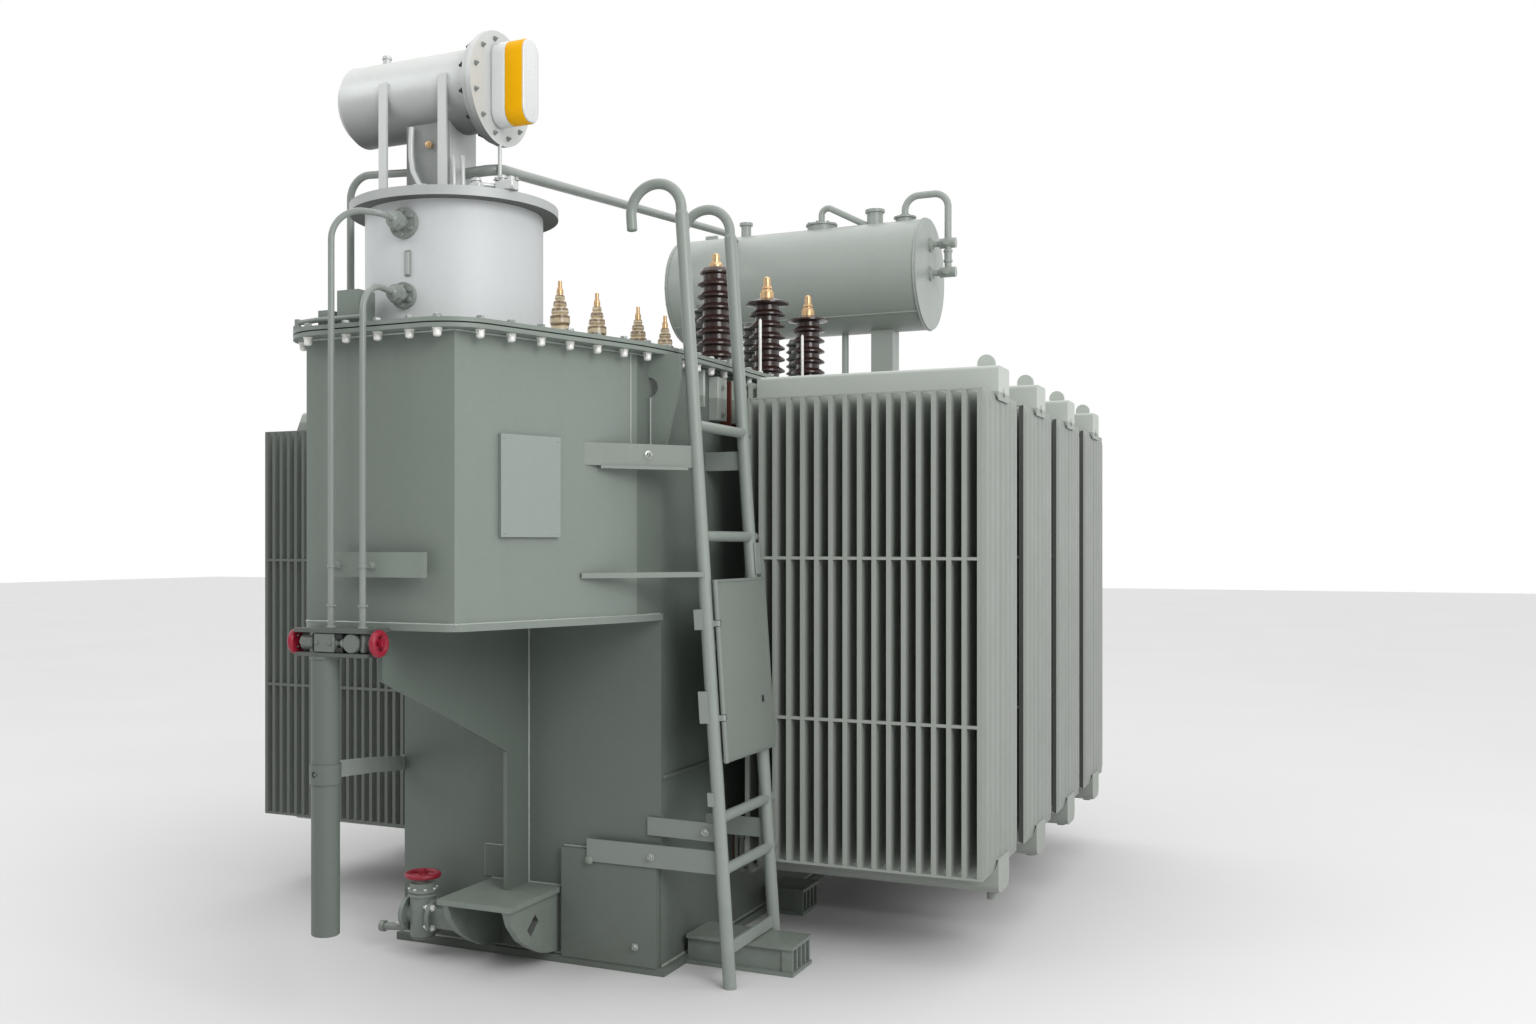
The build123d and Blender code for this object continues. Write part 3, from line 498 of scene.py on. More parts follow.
# the upper tank's flat side walls and its front-facing faces take darker copies of the tank enamel: painted shade
side_wall = N["tank_upper"]
side_wall.data.materials.append(M["tank_side"])
side_wall.data.materials.append(M["tank_front"])
for p in side_wall.data.polygons:
    p.material_index = 1 if abs(p.normal.x) > 0.98 else 2 if p.normal.y < -0.98 else 0
# between two radiator units the front edges of the rear units get a near-black paint: painted shade
N["radiators_right"].data.materials.append(M["gap_shade_paint"])
for p in N["radiators_right"].data.polygons:
    p.material_index = 1 if p.normal.y < -0.9 and p.center.y > -0.9 and 0.32 < p.center.z < 1.88 else 0
# the front faces of the left bank's first unit take the darker shade paint, and those of the units behind it the
# near-black gap paint: both painted shade
N["radiators_left"].data.materials.append(M["shade_paint"])
N["radiators_left"].data.materials.append(M["gap_shade_paint"])
for p in N["radiators_left"].data.polygons:
    front = p.normal.y < -0.9
    p.material_index = 1 if front and p.center.y < -0.9 else 2 if front and 0.32 < p.center.z < 1.83 else 0
# the lower tank's front and sides carry the darker tank_low paint, which is painted shade; its rear carries the same
# tone as the upper tank
N["tank_lower"].data.materials.append(M["tank_paint"])
for p in N["tank_lower"].data.polygons:
    p.material_index = 1 if p.normal.y > 0.9 else 0
# the walls of the slots in the jacking pad cheeks get a near-black paint: painted shade in the recesses
N["jacking_pads"].data.materials.append(M["recess_shade"])
for p in N["jacking_pads"].data.polygons:
    p.material_index = 1 if abs(p.normal.x) < 0.5 and 1.55 < abs(p.center.y) < 1.66 and 0.108 < p.center.z < 0.2 and 0.09 < abs(p.center.x) < 0.145 else 0
# the underside of the lid gets a near-black paint: painted shadow under the lid
N["switch_lid"].data.materials.append(M["recess_shade"])
for p in N["switch_lid"].data.polygons:
    p.material_index = 1 if p.normal.z < -0.9 else 0
# the strap arm takes a lighter paint than its ring: painted light
N["tube_strap"].data.materials.append(M["strap_paint"])
for p in N["tube_strap"].data.polygons:
    p.material_index = 0 if abs(p.center.x + 0.12) < 0.05 and abs(p.center.y + 2.34) < 0.05 else 1
stand = N["drum_supports"]
stand.data.materials.append(M["pedestal_paint"])
for p in stand.data.polygons:
    p.material_index = 0 if p.center.y < -1.99 or abs(p.center.x + 0.175) < 0.02 or abs(p.center.x - 0.042) < 0.0155 else 1
# the top and bottom plates of the valve shelf take the near-black shelf paint: painted shade
shelf = N["valve_shelf"]
shelf.data.materials.append(M["shelf_dark"])
for p in shelf.data.polygons:
    z = p.center.z
    p.material_index = 1 if z > 1.1365 or z < 1.0805 else 0


def dress(name, bevel=2.0, seg=2, angle=32.0, smooth=32.0):
    ob = N[name]
    if bevel:
        bv = ob.modifiers.new("edge", "BEVEL")
        bv.width, bv.segments, bv.limit_method, bv.angle_limit = bevel * MM, seg, "ANGLE", radians(angle)
        bv.harden_normals = False


# the two nose corners and the two rear corners of the upper tank are folded with a wide radius
up = N["tank_upper"]
wt = up.data.attributes.new("bevel_weight_edge", "FLOAT", "EDGE")
for e in up.data.edges:
    a, b = (up.data.vertices[i].co for i in e.vertices)
    corner = abs(a.x - b.x) < 1e-4 and abs(a.y - b.y) < 1e-4 and abs(a.z - b.z) > 0.3 and (a.y < -2.25 or a.y > 1.43) and (abs(abs(a.x) - 0.258) < 0.004 or abs(abs(a.x) - 0.5) < 0.004)
    wt.data[e.index].value = 1.0 if corner else 0.0
bv = up.modifiers.new("fold", "BEVEL")
bv.width, bv.segments, bv.limit_method = 0.020, 5, "WEIGHT"
for name, w in (("tank_lower", 5.0), ("tank_flange", 1.6), ("tank_cover", 1.6), ("pocket_floor", 2.0), ("pocket_gusset", 1.5), ("base_plate", 3.0),
                ("base_beams", 2.0), ("jacking_pads", 2.0), ("earth_box", 3.0), ("lifting_lugs", 2.0), ("nameplate", 1.2), ("switch_lid", 4.0),
                ("switch_drum", 3.0), ("gauge_cap", 5.0), ("drum_supports", 2.0), ("pipe_bracket", 1.5), ("cover_box", 3.0), ("valve_shelf", 1.5),
                ("tube_strap", 1.2), ("drain_valve", 2.0), ("conservator_ends", 3.0), ("conservator_supports", 2.5), ("ladder_gate", 1.0),
                ("ladder_brackets", 1.5), ("radiators_right", 0.8), ("radiators_left", 0.8)):
    dress(name, w)

SLOT_OF = {"pipe_paint": "fitting_paint", "lid_paint": "head_paint", "pedestal_paint": "drum_paint", "tank_side": "tank_paint", "tank_front": "tank_paint", "gap_shade_paint": "radiator_paint", "valve_paint": "fitting_paint", "strap_paint": "tank_paint", "recess_shade": "gasket_black", "tube_paint": "tank_paint", "shelf_dark": "fitting_paint", "ladder_paint": "tank_paint", "tank_low": "tank_paint", "weld_paint": "tank_paint", "conservator_paint": "tank_paint", "skin_paint": "radiator_paint", "shade_paint": "radiator_paint", "bolt_white": "zinc_steel", "dark": "gasket_black", "seal_red": "wheel_red", "gauge_yellow": "gauge_white"}


def put(mesh, name, mat, body="main", bevel=0.0, smooth_angle=40.0):
    return mesh.make(name, mat, body, SLOT_OF.get(mat, mat), bevel, smooth_angle)


# ------------------------------------------------------------------ rim bolting
COVER, RIM = 2012.0, 1984.0


def outline_side(out, n=16):
    """Right half of the plan outline, from the nose corner to the rear corner."""
    t = radians(18.4)
    hx, ny = 500 + out, -2255 - out
    nx = 258 + out * (1 - sin(t)) / cos(t)
    yi = ny + (hx - nx) / tan(t)
    r = 1100 + out
    tl = r * tan(t / 2)
    ox, oy = hx - r, yi + tl
    side = [Vector((nx, ny, 0))]
    side += [Vector((ox + r * cos(a), oy + r * sin(a), 0)) for a in [-t + t * i / n for i in range(n + 1)]]
    side.append(Vector((hx, 1440 + out, 0)))
    return side


def walk(path, start, step):
    out, left = [], start
    for a, b in zip(path, path[1:]):
        seg = (b - a).length
        while left <= seg:
            out.append(a.lerp(b, left / seg))
            left += step
        left -= seg
    return out


side = walk(outline_side(34), 88, 112)
spots = [Vector((x, -2289, 0)) for x in (-224, -88, 22, 131, 224)]
spots += [Vector((s * p.x, p.y, 0)) for p in side for s in (1, -1)]
spots += [Vector((x, 1474, 0)) for x in (-448, -336, -224, -112, 0, 112, 224, 336, 448)]
heads, nuts = Mesh(), Mesh()
for p in spots:
    ph = random.random() * 2
    if not (p.x < 0 and 1230 < p.y < 1390):
        heads.hexa((p.x, p.y, COVER), (0, 0, 1), 12.0, 9.0, ph)
    if min(abs(p.y + 1500), abs(p.y - 1250)) < 26 and abs(p.x) > 480:
        continue
    nuts.lathe((p.x, p.y, RIM), (0, 0, -1), [(14.5, 0), (15, 0.5), (15, 2.5), (14.5, 3)], 18)
    nuts.lathe((p.x, p.y, RIM - 2.8), (0, 0, -1), [(12.6, 0), (12.8, 0.8), (12.8, 7), (11.6, 8.2)], 6, ph, False)
    nuts.lathe((p.x, p.y, RIM - 10.5), (0, 0, -1), [(11.4, 0), (11.8, 1.5), (11.8, 8), (10.4, 11.5), (6.5, 13.8), (0, 14.4)], 18)
put(heads, "rim_bolt_heads", "zinc_steel")
put(nuts, "rim_nuts", "bolt_white")

# ------------------------------------------------------------------ weld beads
w = Mesh()
right = outline_side(0)
for s in (1, -1):
    w.bead([(s * p.x, p.y, RIM - 2) for p in right], 4.0, 11 + s)
    w.bead([(s * p.x, p.y, 1161) for p in right if p.y < -1440] + [(s * 495.5, -1442, 1161)], 3.2, 21 + s)
    w.bead([(s * 500, -1440, 26), (s * 500, 1440, 26)], 5.0, 31 + s)
    w.bead([(s * 8, -1442, 254), (s * 8, -1442, 1139), (s * 8, -2240, 1140)], 3.0, 41 + s)
w.bead([(-258, -2255, RIM - 2), (258, -2255, RIM - 2)], 4.0, 1)
w.bead([(-258, -2255, 1161), (258, -2255, 1161)], 3.2, 2)
w.bead([(-500, 1440, RIM - 2), (500, 1440, RIM - 2)], 4.0, 3)
w.bead([(-500, -1440, 26), (145, -1440, 26)], 5.0, 4)
w.bead([(-500, 1440, 26), (500, 1440, 26)], 5.0, 5)
w.bead([(471.5, -1600, 1700), (471.5, -1600, RIM - 4)], 3.4, 6)
w.bead([(145, -1441, 28), (145, -1441, 386), (496, -1441, 386)], 3.4, 7)
w.bead([(-138, -1441, 251), (138, -1441, 251)], 3.6, 8)
for s in (1, -1):
    for y in (-1500, 1250):
        for q in (-11, 11):
            x = 497 if y < 0 else 500.5
            w.bead([(s * x, y + q, 1650), (s * x, y + q, 1848)], 3.0, 51 + s)
w.bead([(-164, -1441, 256), (-164, -1441, 364), (-91, -1441, 364), (-91, -1441, 256)], 2.4, 9)
put(w, "weld_beads", "weld_paint")

# the wall pad takes the darker tank_low paint: painted shade
pad = Mesh()
pad.box((-164, -1445, 254), (-91, -1440, 364), 1.5)
put(pad, "wall_pad", "tank_low")

# ------------------------------------------------------------------ nameplate: bare, with corner screws
t = radians(18.4)
np_c = Vector((258 + (-2001 + 2255) * tan(t), -2001, 1553))
np_u, np_n = Vector((sin(t), cos(t), 0)), Vector((cos(t), -sin(t), 0))
NPM = Matrix.Translation(np_c) @ Matrix((np_u, Vector((0, 0, 1)), np_n)).transposed().to_4x4()
rim = Mesh()
for u in (-101, 101):
    for v in (-136, 136):
        rim.lathe(NPM @ Vector((u, v, 14)), np_n, [(4.2, 0), (4.0, 0.8), (2.8, 1.6), (0, 1.9)], 12)
put(rim, "nameplate_screws", "bare_plate")

# ------------------------------------------------------------------ radiators
FZ0, FZ1 = 307.0, 1885.0


def smooth01(a):
    a = max(0.0, min(1.0, a))
    return a * a * (3 - 2 * a)


def flute(d):
    """Height of the pressed outer panel at a distance d from its front edge."""
    h = 1.0 + 5.5 * smooth01((d - 12) / 10) * smooth01((508 - d) / 10)
    for c, wd, dp in ((233, 13, 5.0), (82, 8, 2.6), (156, 8, 2.6), (312, 8, 2.6), (384, 8, 2.6), (452, 8, 2.6)):
        h -= dp * smooth01(1 - abs(d - c) / wd)
    return max(h, 0.8)


DS = sorted(set([0, 4, 10, 12, 15, 18, 22, 498, 502, 505, 508, 514, 520] + [c + k * wd for c, wd in ((233, 13), (82, 8), (156, 8), (312, 8), (384, 8), (452, 8)) for k in (-1, -0.6, -0.3, 0, 0.3, 0.6, 1)]))


def skin(mesh, sx, y0, z0, z1, xf):
    zs = [z0 + 2, z0 + 12, z0 + 26, z0 + 42, (z0 + z1) / 2, z1 - 42, z1 - 26, z1 - 12, z1 - 2]
    verts = []
    for z in zs:
        f = 0.12 + 0.88 * smooth01(min(z - z0, z1 - z) / 40)
        for d in DS:
            edge = d in (0, 520) or z in (zs[0], zs[-1])
            verts.append((sx * (xf + (0.1 if edge else 0.6 + (flute(d) - 0.6) * f * (1.0 if sx > 0 else 0.55))), y0 + d, z))
    n = len(DS)
    faces = [(i * n + j, i * n + j + 1, (i + 1) * n + j + 1, (i + 1) * n + j) for i in range(len(zs) - 1) for j in range(n - 1)]
    mesh.add(verts, faces if sx > 0 else [f[::-1] for f in faces])


for sx, tag, out, drop, xf, fz0 in ((1, "right", 0.0, 0.0, 1443.0, FZ0), (-1, "left", 20.0, 46.0, 1477.0, 293.0)):
    sk, dots, fit = Mesh(), Mesh(), Mesh()
    for i in range(4):
        y0 = -1040.0 + 640.0 * i
        ym = y0 + 260.0
        skin(sk, sx, y0, fz0, FZ1 - drop, xf)
        for c in (82, 233, 384):
            z = fz0 + 70
            while z < FZ1 - drop - 60:
                dots.lathe((sx * (xf + 0.8), y0 + c, z), (sx, 0, 0), [(5.5, 0), (4.4, 1.6), (0, 1.9)], 8)
                z += 88
        for top in (True, False):
            z = 1888.0 - drop if top else 285.5
            for qy in (-54, 54):
                for qz in (-54, 54):
                    fit.hexa((sx * 578, ym + qy, z + qz), (sx, 0, 0), 10.5, 8, 0.3)
                    fit.hexa((sx * 528, ym + qy, z + qz), (-sx, 0, 0), 10.5, 8, 0.3)
                    fit.rod((sx * 543, ym + qy * 1.2, z + qz * 1.2), (sx, 0, 0), 5, 20, seg=10)
            fit.rod((sx * 553, ym - 57, z), (0, -1, 0), 9, 20, seg=14)
            fit.box((min(sx * 548, sx * 558), ym - 82, z - 8), (max(sx * 548, sx * 558), ym - 74, z + 46), 1.5)
    put(sk, "radiator_skins_" + tag, "skin_paint", smooth_angle=60)
    put(dots, "radiator_spot_welds_" + tag, "skin_paint")
    put(fit, "radiator_valve_bolts_" + tag, "radiator_paint")
    seal, plate_ = Mesh(), Mesh()
    for i in range(4):
        ym = -780.0 + 640.0 * i
        for top in (True, False):
            z = 1888.0 - drop if top else 285.5
            seal.box((min(sx * 500.5, sx * 508), ym - 70, z - 70), (max(sx * 500.5, sx * 508), ym + 70, z + 70), 1.2)
            plate_.box((min(sx * 508, sx * 520), ym - 72, z - 72), (max(sx * 508, sx * 520), ym + 72, z + 72), 2)
    put(seal, "radiator_wall_seals_" + tag, "seal_red")
    put(plate_, "radiator_wall_flanges_" + tag, "radiator_paint")

# stop blocks with a red-brown pad, under the rim just ahead of the first radiator valve, and a flat bar along each side wall
blk, sealp, bar = Mesh(), Mesh(), Mesh()
for sx in (1, -1):
    def side_box(m, x0, x1, y0, y1, z0, z1, c=2.0):
        m.box((min(sx * x0, sx * x1), y0, z0), (max(sx * x0, sx * x1), y1, z1), c)
    side_box(blk, 499, 522, -1152, -1138, 1850, 1978)
    side_box(blk, 499, 534, -1060, -980, 1812, 1962)
    side_box(blk, 540, 560, -958, -902, 1806, 1958)
    blk.hexa((sx * 534, -1020, 1930), (sx, 0, 0), 9, 8, 0.2)
    blk.hexa((sx * 534, -1020, 1840), (sx, 0, 0), 9, 8, 0.2)
    side_box(sealp, 499, 542, -962, -900, 1800, 1955)
    side_box(bar, 499, 511, -1432, 1432, 629, 640, 1.5)
put(blk, "side_stop_blocks", "radiator_paint")
put(sealp, "side_stop_pads", "seal_red")
# the side bars take the darker tank_low paint: painted shade
put(bar, "side_stiffeners", "tank_low")

# ------------------------------------------------------------------ tap changer head
SWY = -1870.0
h = Mesh()
h.lathe((0, SWY, COVER), (0, 0, 1), [(270, 0), (277, 0), (276, 3), (271.5, 7)], 72)
h.lathe((0, SWY, 2418), (0, 0, 1), [(306, 0), (305, 3), (300, 4), (170, 6), (168, 3)], 72)
put(h, "head_trim", "head_paint")
h = Mesh()
for x0, y0, x1, y1, z1 in ((-165, -2030, -112, -1992, 2444), (238, -2020, 300, -1982, 2450), (-88, -2078, -46, -2046, 2436), (-22, -2084, 10, -2056, 2442), (176, -2062, 214, -2034, 2440)):
    h.box((x0, y0, 2418), (x1, y1, z1), 4)
for x, y, r, t in ((-138, -2010, 15, 2466), (-67, -2062, 11, 2452), (254, -2001, 12, 2468), (284, -2001, 10, 2462), (195, -2048, 13, 2456), (40, -2090, 12, 2444)):
    h.lathe((x, y, 2420), (0, 0, 1), [(r * 1.5, 0), (r * 1.5, 6), (r, 8), (r, t - 2432), (r * 1.2, t - 2431), (r * 1.2, t - 2424), (r * 0.6, t - 2420), (0, t - 2419)], 16)
h.tube([(238, -2001, 2436), (214, -2030, 2436), (195, -2048, 2434)], 8, 12)
put(h, "head_lid_fittings", "drum_paint")
hb = Mesh()
for x, y, z in ((-150, -2004, 2444), (-122, -2018, 2444), (244, -2014, 2450), (294, -1990, 2450), (-6, -2070, 2442)):
    hb.hexa((x, y, z), (0, 0, 1), 8, 7, x)
put(hb, "head_fitting_bolts", "zinc_steel")
sl = Mesh()
sl.box((11, -2147, 2166), (31, -2140.4, 2241), 2.0)
put(sl, "head_sight_frame", "fitting_paint")
sd = Mesh()
sd.box((14.5, -2148, 2171), (27.5, -2143, 2236), 1.0)
put(sd, "head_sight_slot", "lid_paint")

# pipe stubs: flange bolts and union nuts on the two pipes
u = Mesh()
a0 = radians(-2)
sdx, sdy = -sin(a0), -cos(a0)
for z, rf in ((2320.0, 45.0), (2109.0, 39.0)):
    o = Vector((sdx * 286, SWY + sdy * 286, z))
    e1 = Vector((-sdy, sdx, 0))
    for k in range(6):
        a = 2 * pi * (k + 0.5) / 6
        u.hexa(o + e1 * ((rf - 10) * cos(a)) + Vector((0, 0, (rf - 10) * sin(a))), (sdx, sdy, 0), 7.5, 7, a, False)
    u.lathe(o + Vector((sdx, sdy, 0)) * 22, (sdx, sdy, 0), [(20, 0), (29, 0.5), (29, 14), (25, 16), (25, 26), (18, 28), (13, 34), (11, 36)], 8, 0.2, False)
for x in (-100, 10):
    u.lathe((x, -2340, 1209), (0, 0, 1), [(9, 0), (12.5, 0.8), (12.5, 5.5), (9, 6.3)], 18)
    for q in (-1, 1):
        u.box((x + min(q * 8, q * 17), -2343, 1209.5), (x + max(q * 8, q * 17), -2337, 1214.8), 1)
    u.lathe((x, -2340, 1148), (0, 0, 1), [(14, 0), (15, 0.8), (15, 5), (10, 7), (9, 8)], 18)
    u.lathe((x, -2340, 1319), (0, 0, 1), [(9, 0), (11.5, 0.6), (11.5, 9.4), (9, 10)], 18)
    u.box((x - 4, -2333, 1320), (x + 4, -2306, 1327), 1)
put(u, "pipe_unions", "pipe_paint")
u = Mesh()
for x in (-101, 18):
    u.hexa((x, -2308, 1324), (0, -1, 0), 9, 9, 0.2)
put(u, "pipe_clip_bolts", "fitting_paint")

# ------------------------------------------------------------------ drum above the head
d = Mesh()
for k in range(12):
    a = 2 * pi * (k + 0.5) / 12
    p = (SWY + 147 * cos(a), 2769 + 147 * sin(a))
    d.stud((168, *p), (1, 0, 0), 6.0, 5, a)
put(d, "drum_flange_bolts", "fitting_paint")
d = Mesh()
for k in range(12):
    a = 2 * pi * (k + 0.5) / 12
    d.stud((130, SWY + 147 * cos(a), 2769 + 147 * sin(a)), (-1, 0, 0), 9, 9, a)
put(d, "drum_flange_nuts", "dark")
d = Mesh()
d.lathe((-256, SWY, 2894), (0, 0, 1), [(19, 0), (19, 8), (13, 9.5), (13, 24), (15, 25), (15, 33), (10, 37), (0, 39)], 16)
d.lathe((-120, SWY, 2896), (0, 0, 1), [(12, 0), (12, 6), (8, 8), (0, 9)], 12)
put(d, "drum_fittings", "drum_paint")
d = Mesh()
d.tube([(-100, -1956, 2662), (-100, -1960, 2620), (-98, -1962, 2570), (-88, -1966, 2525), (-62, -1971, 2482), (-30, -1976, 2448), (4, -1980, 2424), (12, -1981, 2418)], 9, 14)
d.tube([(163, SWY, 2418), (163, SWY, 2520), (163, SWY, 2602)], 6, 12)
d.lathe((163, SWY, 2418), (0, 0, 1), [(14, 0), (14, 9), (9, 11), (9, 20), (6, 22)], 14)
for x, y in ((62, -1968), (84, -1952)):
    d.tube([(x, y, 2418), (x, y, 2480), (x - 6, y + 8, 2530), (x - 14, y + 20, 2560)], 7, 12)
    d.lathe((x, y, 2418), (0, 0, 1), [(13, 0), (13, 8), (9, 9), (9, 22), (7, 23)], 14)
d.box((-140, -1946, 2418), (36, -1800, 2428), 2)
put(d, "drum_small_tubes", "drum_paint")
d = Mesh()
d.lathe((-39, -1942, 2604), (0, -1, 0), [(9, 0), (9, 5), (12, 6), (12, 14), (9, 15.5), (9, 21), (5, 23), (0, 23.6)], 6, 0.2, False)
put(d, "drum_brass_plug", "terminal_brass")


def rrect(y0, y1, z0, z1, r, n=8):
    out = []
    for cy_, cz_, a0 in ((y1 - r, z1 - r, 0), (y0 + r, z1 - r, pi / 2), (y0 + r, z0 + r, pi), (y1 - r, z0 + r, 1.5 * pi)):
        out += [(cy_ + r * cos(a0 + i * pi / 2 / n), cz_ + r * sin(a0 + i * pi / 2 / n)) for i in range(n + 1)]
    return out


def shell(mesh, x0, x1, y0, y1, z0, z1, r, c):
    """Rounded-rectangle slab along X with softened front and back edges."""
    rings = []
    for x, ins in ((x0, c), (x0 + c, 0), (x1 - c, 0), (x1 - 0.3 * c, 0.4 * c), (x1, c)):
        rings.append([(x, y, z) for y, z in rrect(y0 + ins, y1 - ins, z0 + ins, z1 - ins, r - ins * 0.5)])
    n = len(rings[0])
    verts = [p for q in rings for p in q]
    faces = [(i * n + j, i * n + (j + 1) % n, (i + 1) * n + (j + 1) % n, (i + 1) * n + j) for i in range(len(rings) - 1) for j in range(n)]
    faces += [tuple(range(n))[::-1], tuple(range((len(rings) - 1) * n, len(rings) * n))]
    mesh.add(verts, faces)


g = Mesh()
shell(g, 217, 276, SWY - 60, SWY + 34, 2648, 2900, 43, 1.5)
put(g, "gauge_band", "gauge_yellow")
g = Mesh()
shell(g, 275, 283, SWY - 58.5, SWY + 32.5, 2650, 2898.5, 42, 4)
shell(g, 168, 217.5, SWY - 61, SWY + 35, 2647, 2901, 44, 5)
put(g, "gauge_covers", "gauge_white")

# ------------------------------------------------------------------ cover fittings
c = Mesh()
c.tube([(-300, -2244, 2036), (-230, -2244, 2040), (-60, -2244, 2040)], 8, 12)
c.lathe((-300, -2244, COVER), (0, 0, 1), [(13, 0), (13, 14), (9, 16), (9, 34), (0, 36)], 14)
c.lathe((-60, -2244, COVER), (0, 0, 1), [(13, 0), (13, 14), (9, 16), (9, 34), (0, 36)], 14)
c.lathe((-150, -813, COVER), (0, 0, 1), [(22, 0), (22, 8), (12, 10), (12, 30), (16, 31), (16, 42), (8, 46), (0, 47)], 16)
for x, y in ((-330, -1480), (330, -1300), (-120, 900), (120, 1080)):
    c.lathe((x, y, COVER), (0, 0, 1), [(40, 0), (40, 9), (26, 10), (26, 34), (30, 35), (30, 48), (20, 52), (0, 53)], 20)
put(c, "cover_fittings", "fitting_paint")
c = Mesh()
for y in (-425.0, 120.0, 632.0):
    for k in range(6):
        a = 2 * pi * k / 6 + 0.3
        c.stud((250 + 84 * cos(a), y + 84 * sin(a), COVER + 26), (0, 0, 1), 8.5, 8, a)
    if y < -300:
        continue
    c.tube([(262, y - 108, COVER), (262, y - 108, 2190), (262, y - 108, 2322), (262, y - 108, 2331)], 6.5, 12, True, [6.5, 6.5, 6.5, 3.5])
    c.lathe((262, y - 108, COVER), (0, 0, 1), [(18, 0), (18, 9), (12, 10), (12, 24), (6, 26)], 14)
for y in (-783.0, -483.0, -114.0, 153.0):
    for k in range(4):
        a = 2 * pi * k / 4 + 0.6
        c.stud((-250 + 54 * cos(a), y + 54 * sin(a), COVER + 10), (0, 0, 1), 7.0, 7, a)
put(c, "bushing_bolts", "bolt_white")
c = Mesh()
for y in (-425.0, 120.0, 632.0):
    for zn, rn in (((2480, 25),) if y < -300 else ((2458, 27), (2474, 24))):
        c.lathe((250, y, zn), (0, 0, 1), [(17, 0), (rn, 0.6), (rn, 10), (17, 11)], 6, 0.3, False)
    c.lathe((250, y, 2519), (0, 0, 1), [(14, 0), (11, 5), (4, 9), (0, 10)], 14)
for y in (-783.0, -483.0, -114.0, 153.0):
    c.lathe((-250, y, 2364), (0, 0, 1), [(8, 0), (12, 0.5), (12, 7), (8, 7.6)], 6, 0.4, False)
put(c, "terminal_nuts", "terminal_brass")

# ------------------------------------------------------------------ main conservator
CY, CZ, CR = 1310.0, 2708.0, 270.0
k = Mesh()
ph0 = radians(-131)
k.bead([(-664, CY + (CR + 1) * cos(ph0), CZ + (CR + 1) * sin(ph0)), (626, CY + (CR + 1) * cos(ph0), CZ + (CR + 1) * sin(ph0))], 3.6, 61)
for x, r in ((628, 271.5), (-664, 271.5)):
    k.tube([(x, CY + r * cos(a), CZ + r * sin(a)) for a in [2 * pi * i / 72 for i in range(73)]], 4.5, 8)
for z in (2854, 2712):
    k.lathe((640, CY, z), (1, 0, 0), [(36, 0), (36, 9), (20, 11), (16, 14)], 20)
    for i in range(4):
        a = pi / 4 + i * pi / 2
        k.hexa((649, CY + 27 * cos(a), z + 27 * sin(a)), (1, 0, 0), 5.5, 5, a, False)
    k.lathe((729, CY - 15, z), (0, -1, 0), [(17, 0), (17, 12), (12, 13), (12, 26), (16, 27), (16, 34), (0, 36)], 14)
k.lathe((729, CY, 2760), (0, 0, 1), [(17, 0), (22, 1), (22, 12), (18, 13), (18, 48), (22, 49), (22, 60), (17, 61)], 18)
for x, zt, r in ((-336, 3052, 26), (359, 3052, 40)):
    k.lathe((x, CY, zt - 16), (0, 0, 1), [(r, 0), (r + 9, 1), (r + 9, 15.5), (r - 4, 16)], 24)
k.box((-566, CY - 9, 2968), (-496, CY + 9, 3004), 5)
k.lathe((78, CY, 2996), (0, 0, 1), [(60, 0), (80, 0.5), (80, 9), (60, 10)], 28)
k.lathe((513, CY, 2994), (0, 0, 1), [(40, 0), (56, 0.5), (56, 8), (40, 9)], 24)
put(k, "conservator_trim", "conservator_paint")
k = Mesh()
for i in range(16):
    a = 2 * pi * i / 16
    k.hexa((-690, CY + 216 * cos(a), CZ + 216 * sin(a)), (-1, 0, 0), 11, 9, a)
for i in range(8):
    a = 2 * pi * i / 8
    k.hexa((78 + 70 * cos(a), CY + 70 * sin(a), 3006), (0, 0, 1), 7, 6, a, False)
for x in (-475.0, 411.0):
    k.stud((x - 68, CY - 40, COVER + 12), (0, 0, 1), 10, 9)
    k.stud((x + 68, CY - 40, COVER + 12), (0, 0, 1), 10, 9)
put(k, "conservator_bolts", "zinc_steel")
k = Mesh()
for x in (-475.0, 411.0):
    k.box((x - 84 if x > 0 else x - 54, CY - 75, COVER), (x + 84, CY + 75, COVER + 12), 2)
put(k, "conservator_feet", "conservator_paint")

# ------------------------------------------------------------------ shelf valves, drop tube, drain valve
VZ = 1108.5
v = Mesh()
v.lathe((-188, -2340, VZ), (1, 0, 0), [(22, 0), (27.5, 3), (27.5, 41), (24, 44)], 26)
v.box((-134, -2375, 1081.5), (-64, -2350, 1135.5), 2.5)
v.lathe((-66, -2352, VZ), (1, 0, 0), [(16, 0), (10, 5), (9, 14), (10, 23), (16, 28)], 20)
v.lathe((-6, -2350, VZ), (0, -1, 0), [(28, 0), (28, 20), (26, 24), (10, 25), (0, 25.2)], 32)
v.box((23, -2368, 1083), (35, -2344, 1134), 2)
v.hexa((-122, -2375, VZ), (0, -1, 0), 6, 5, 0.2, False)
v.hexa((-76, -2375, VZ), (0, -1, 0), 6, 5, 0.2, False)
put(v, "shelf_valve_rings", "valve_paint")
# near-black strips in the gaps between the shelf valve parts: painted shade
v = Mesh()
v.box((-63, -2350, 1081), (-36, -2338, 1136), 2)
for x0, x1, z0, z1 in ((-61, -38, 1120, 1136), (-60, -37, 1081, 1095), (-142, -136, 1083, 1134), (24, 27, 1096, 1136)):
    v.box((x0, -2371, z0), (x1, -2345, z1), 2)
put(v, "shelf_valve_shade_fillers", "dark")
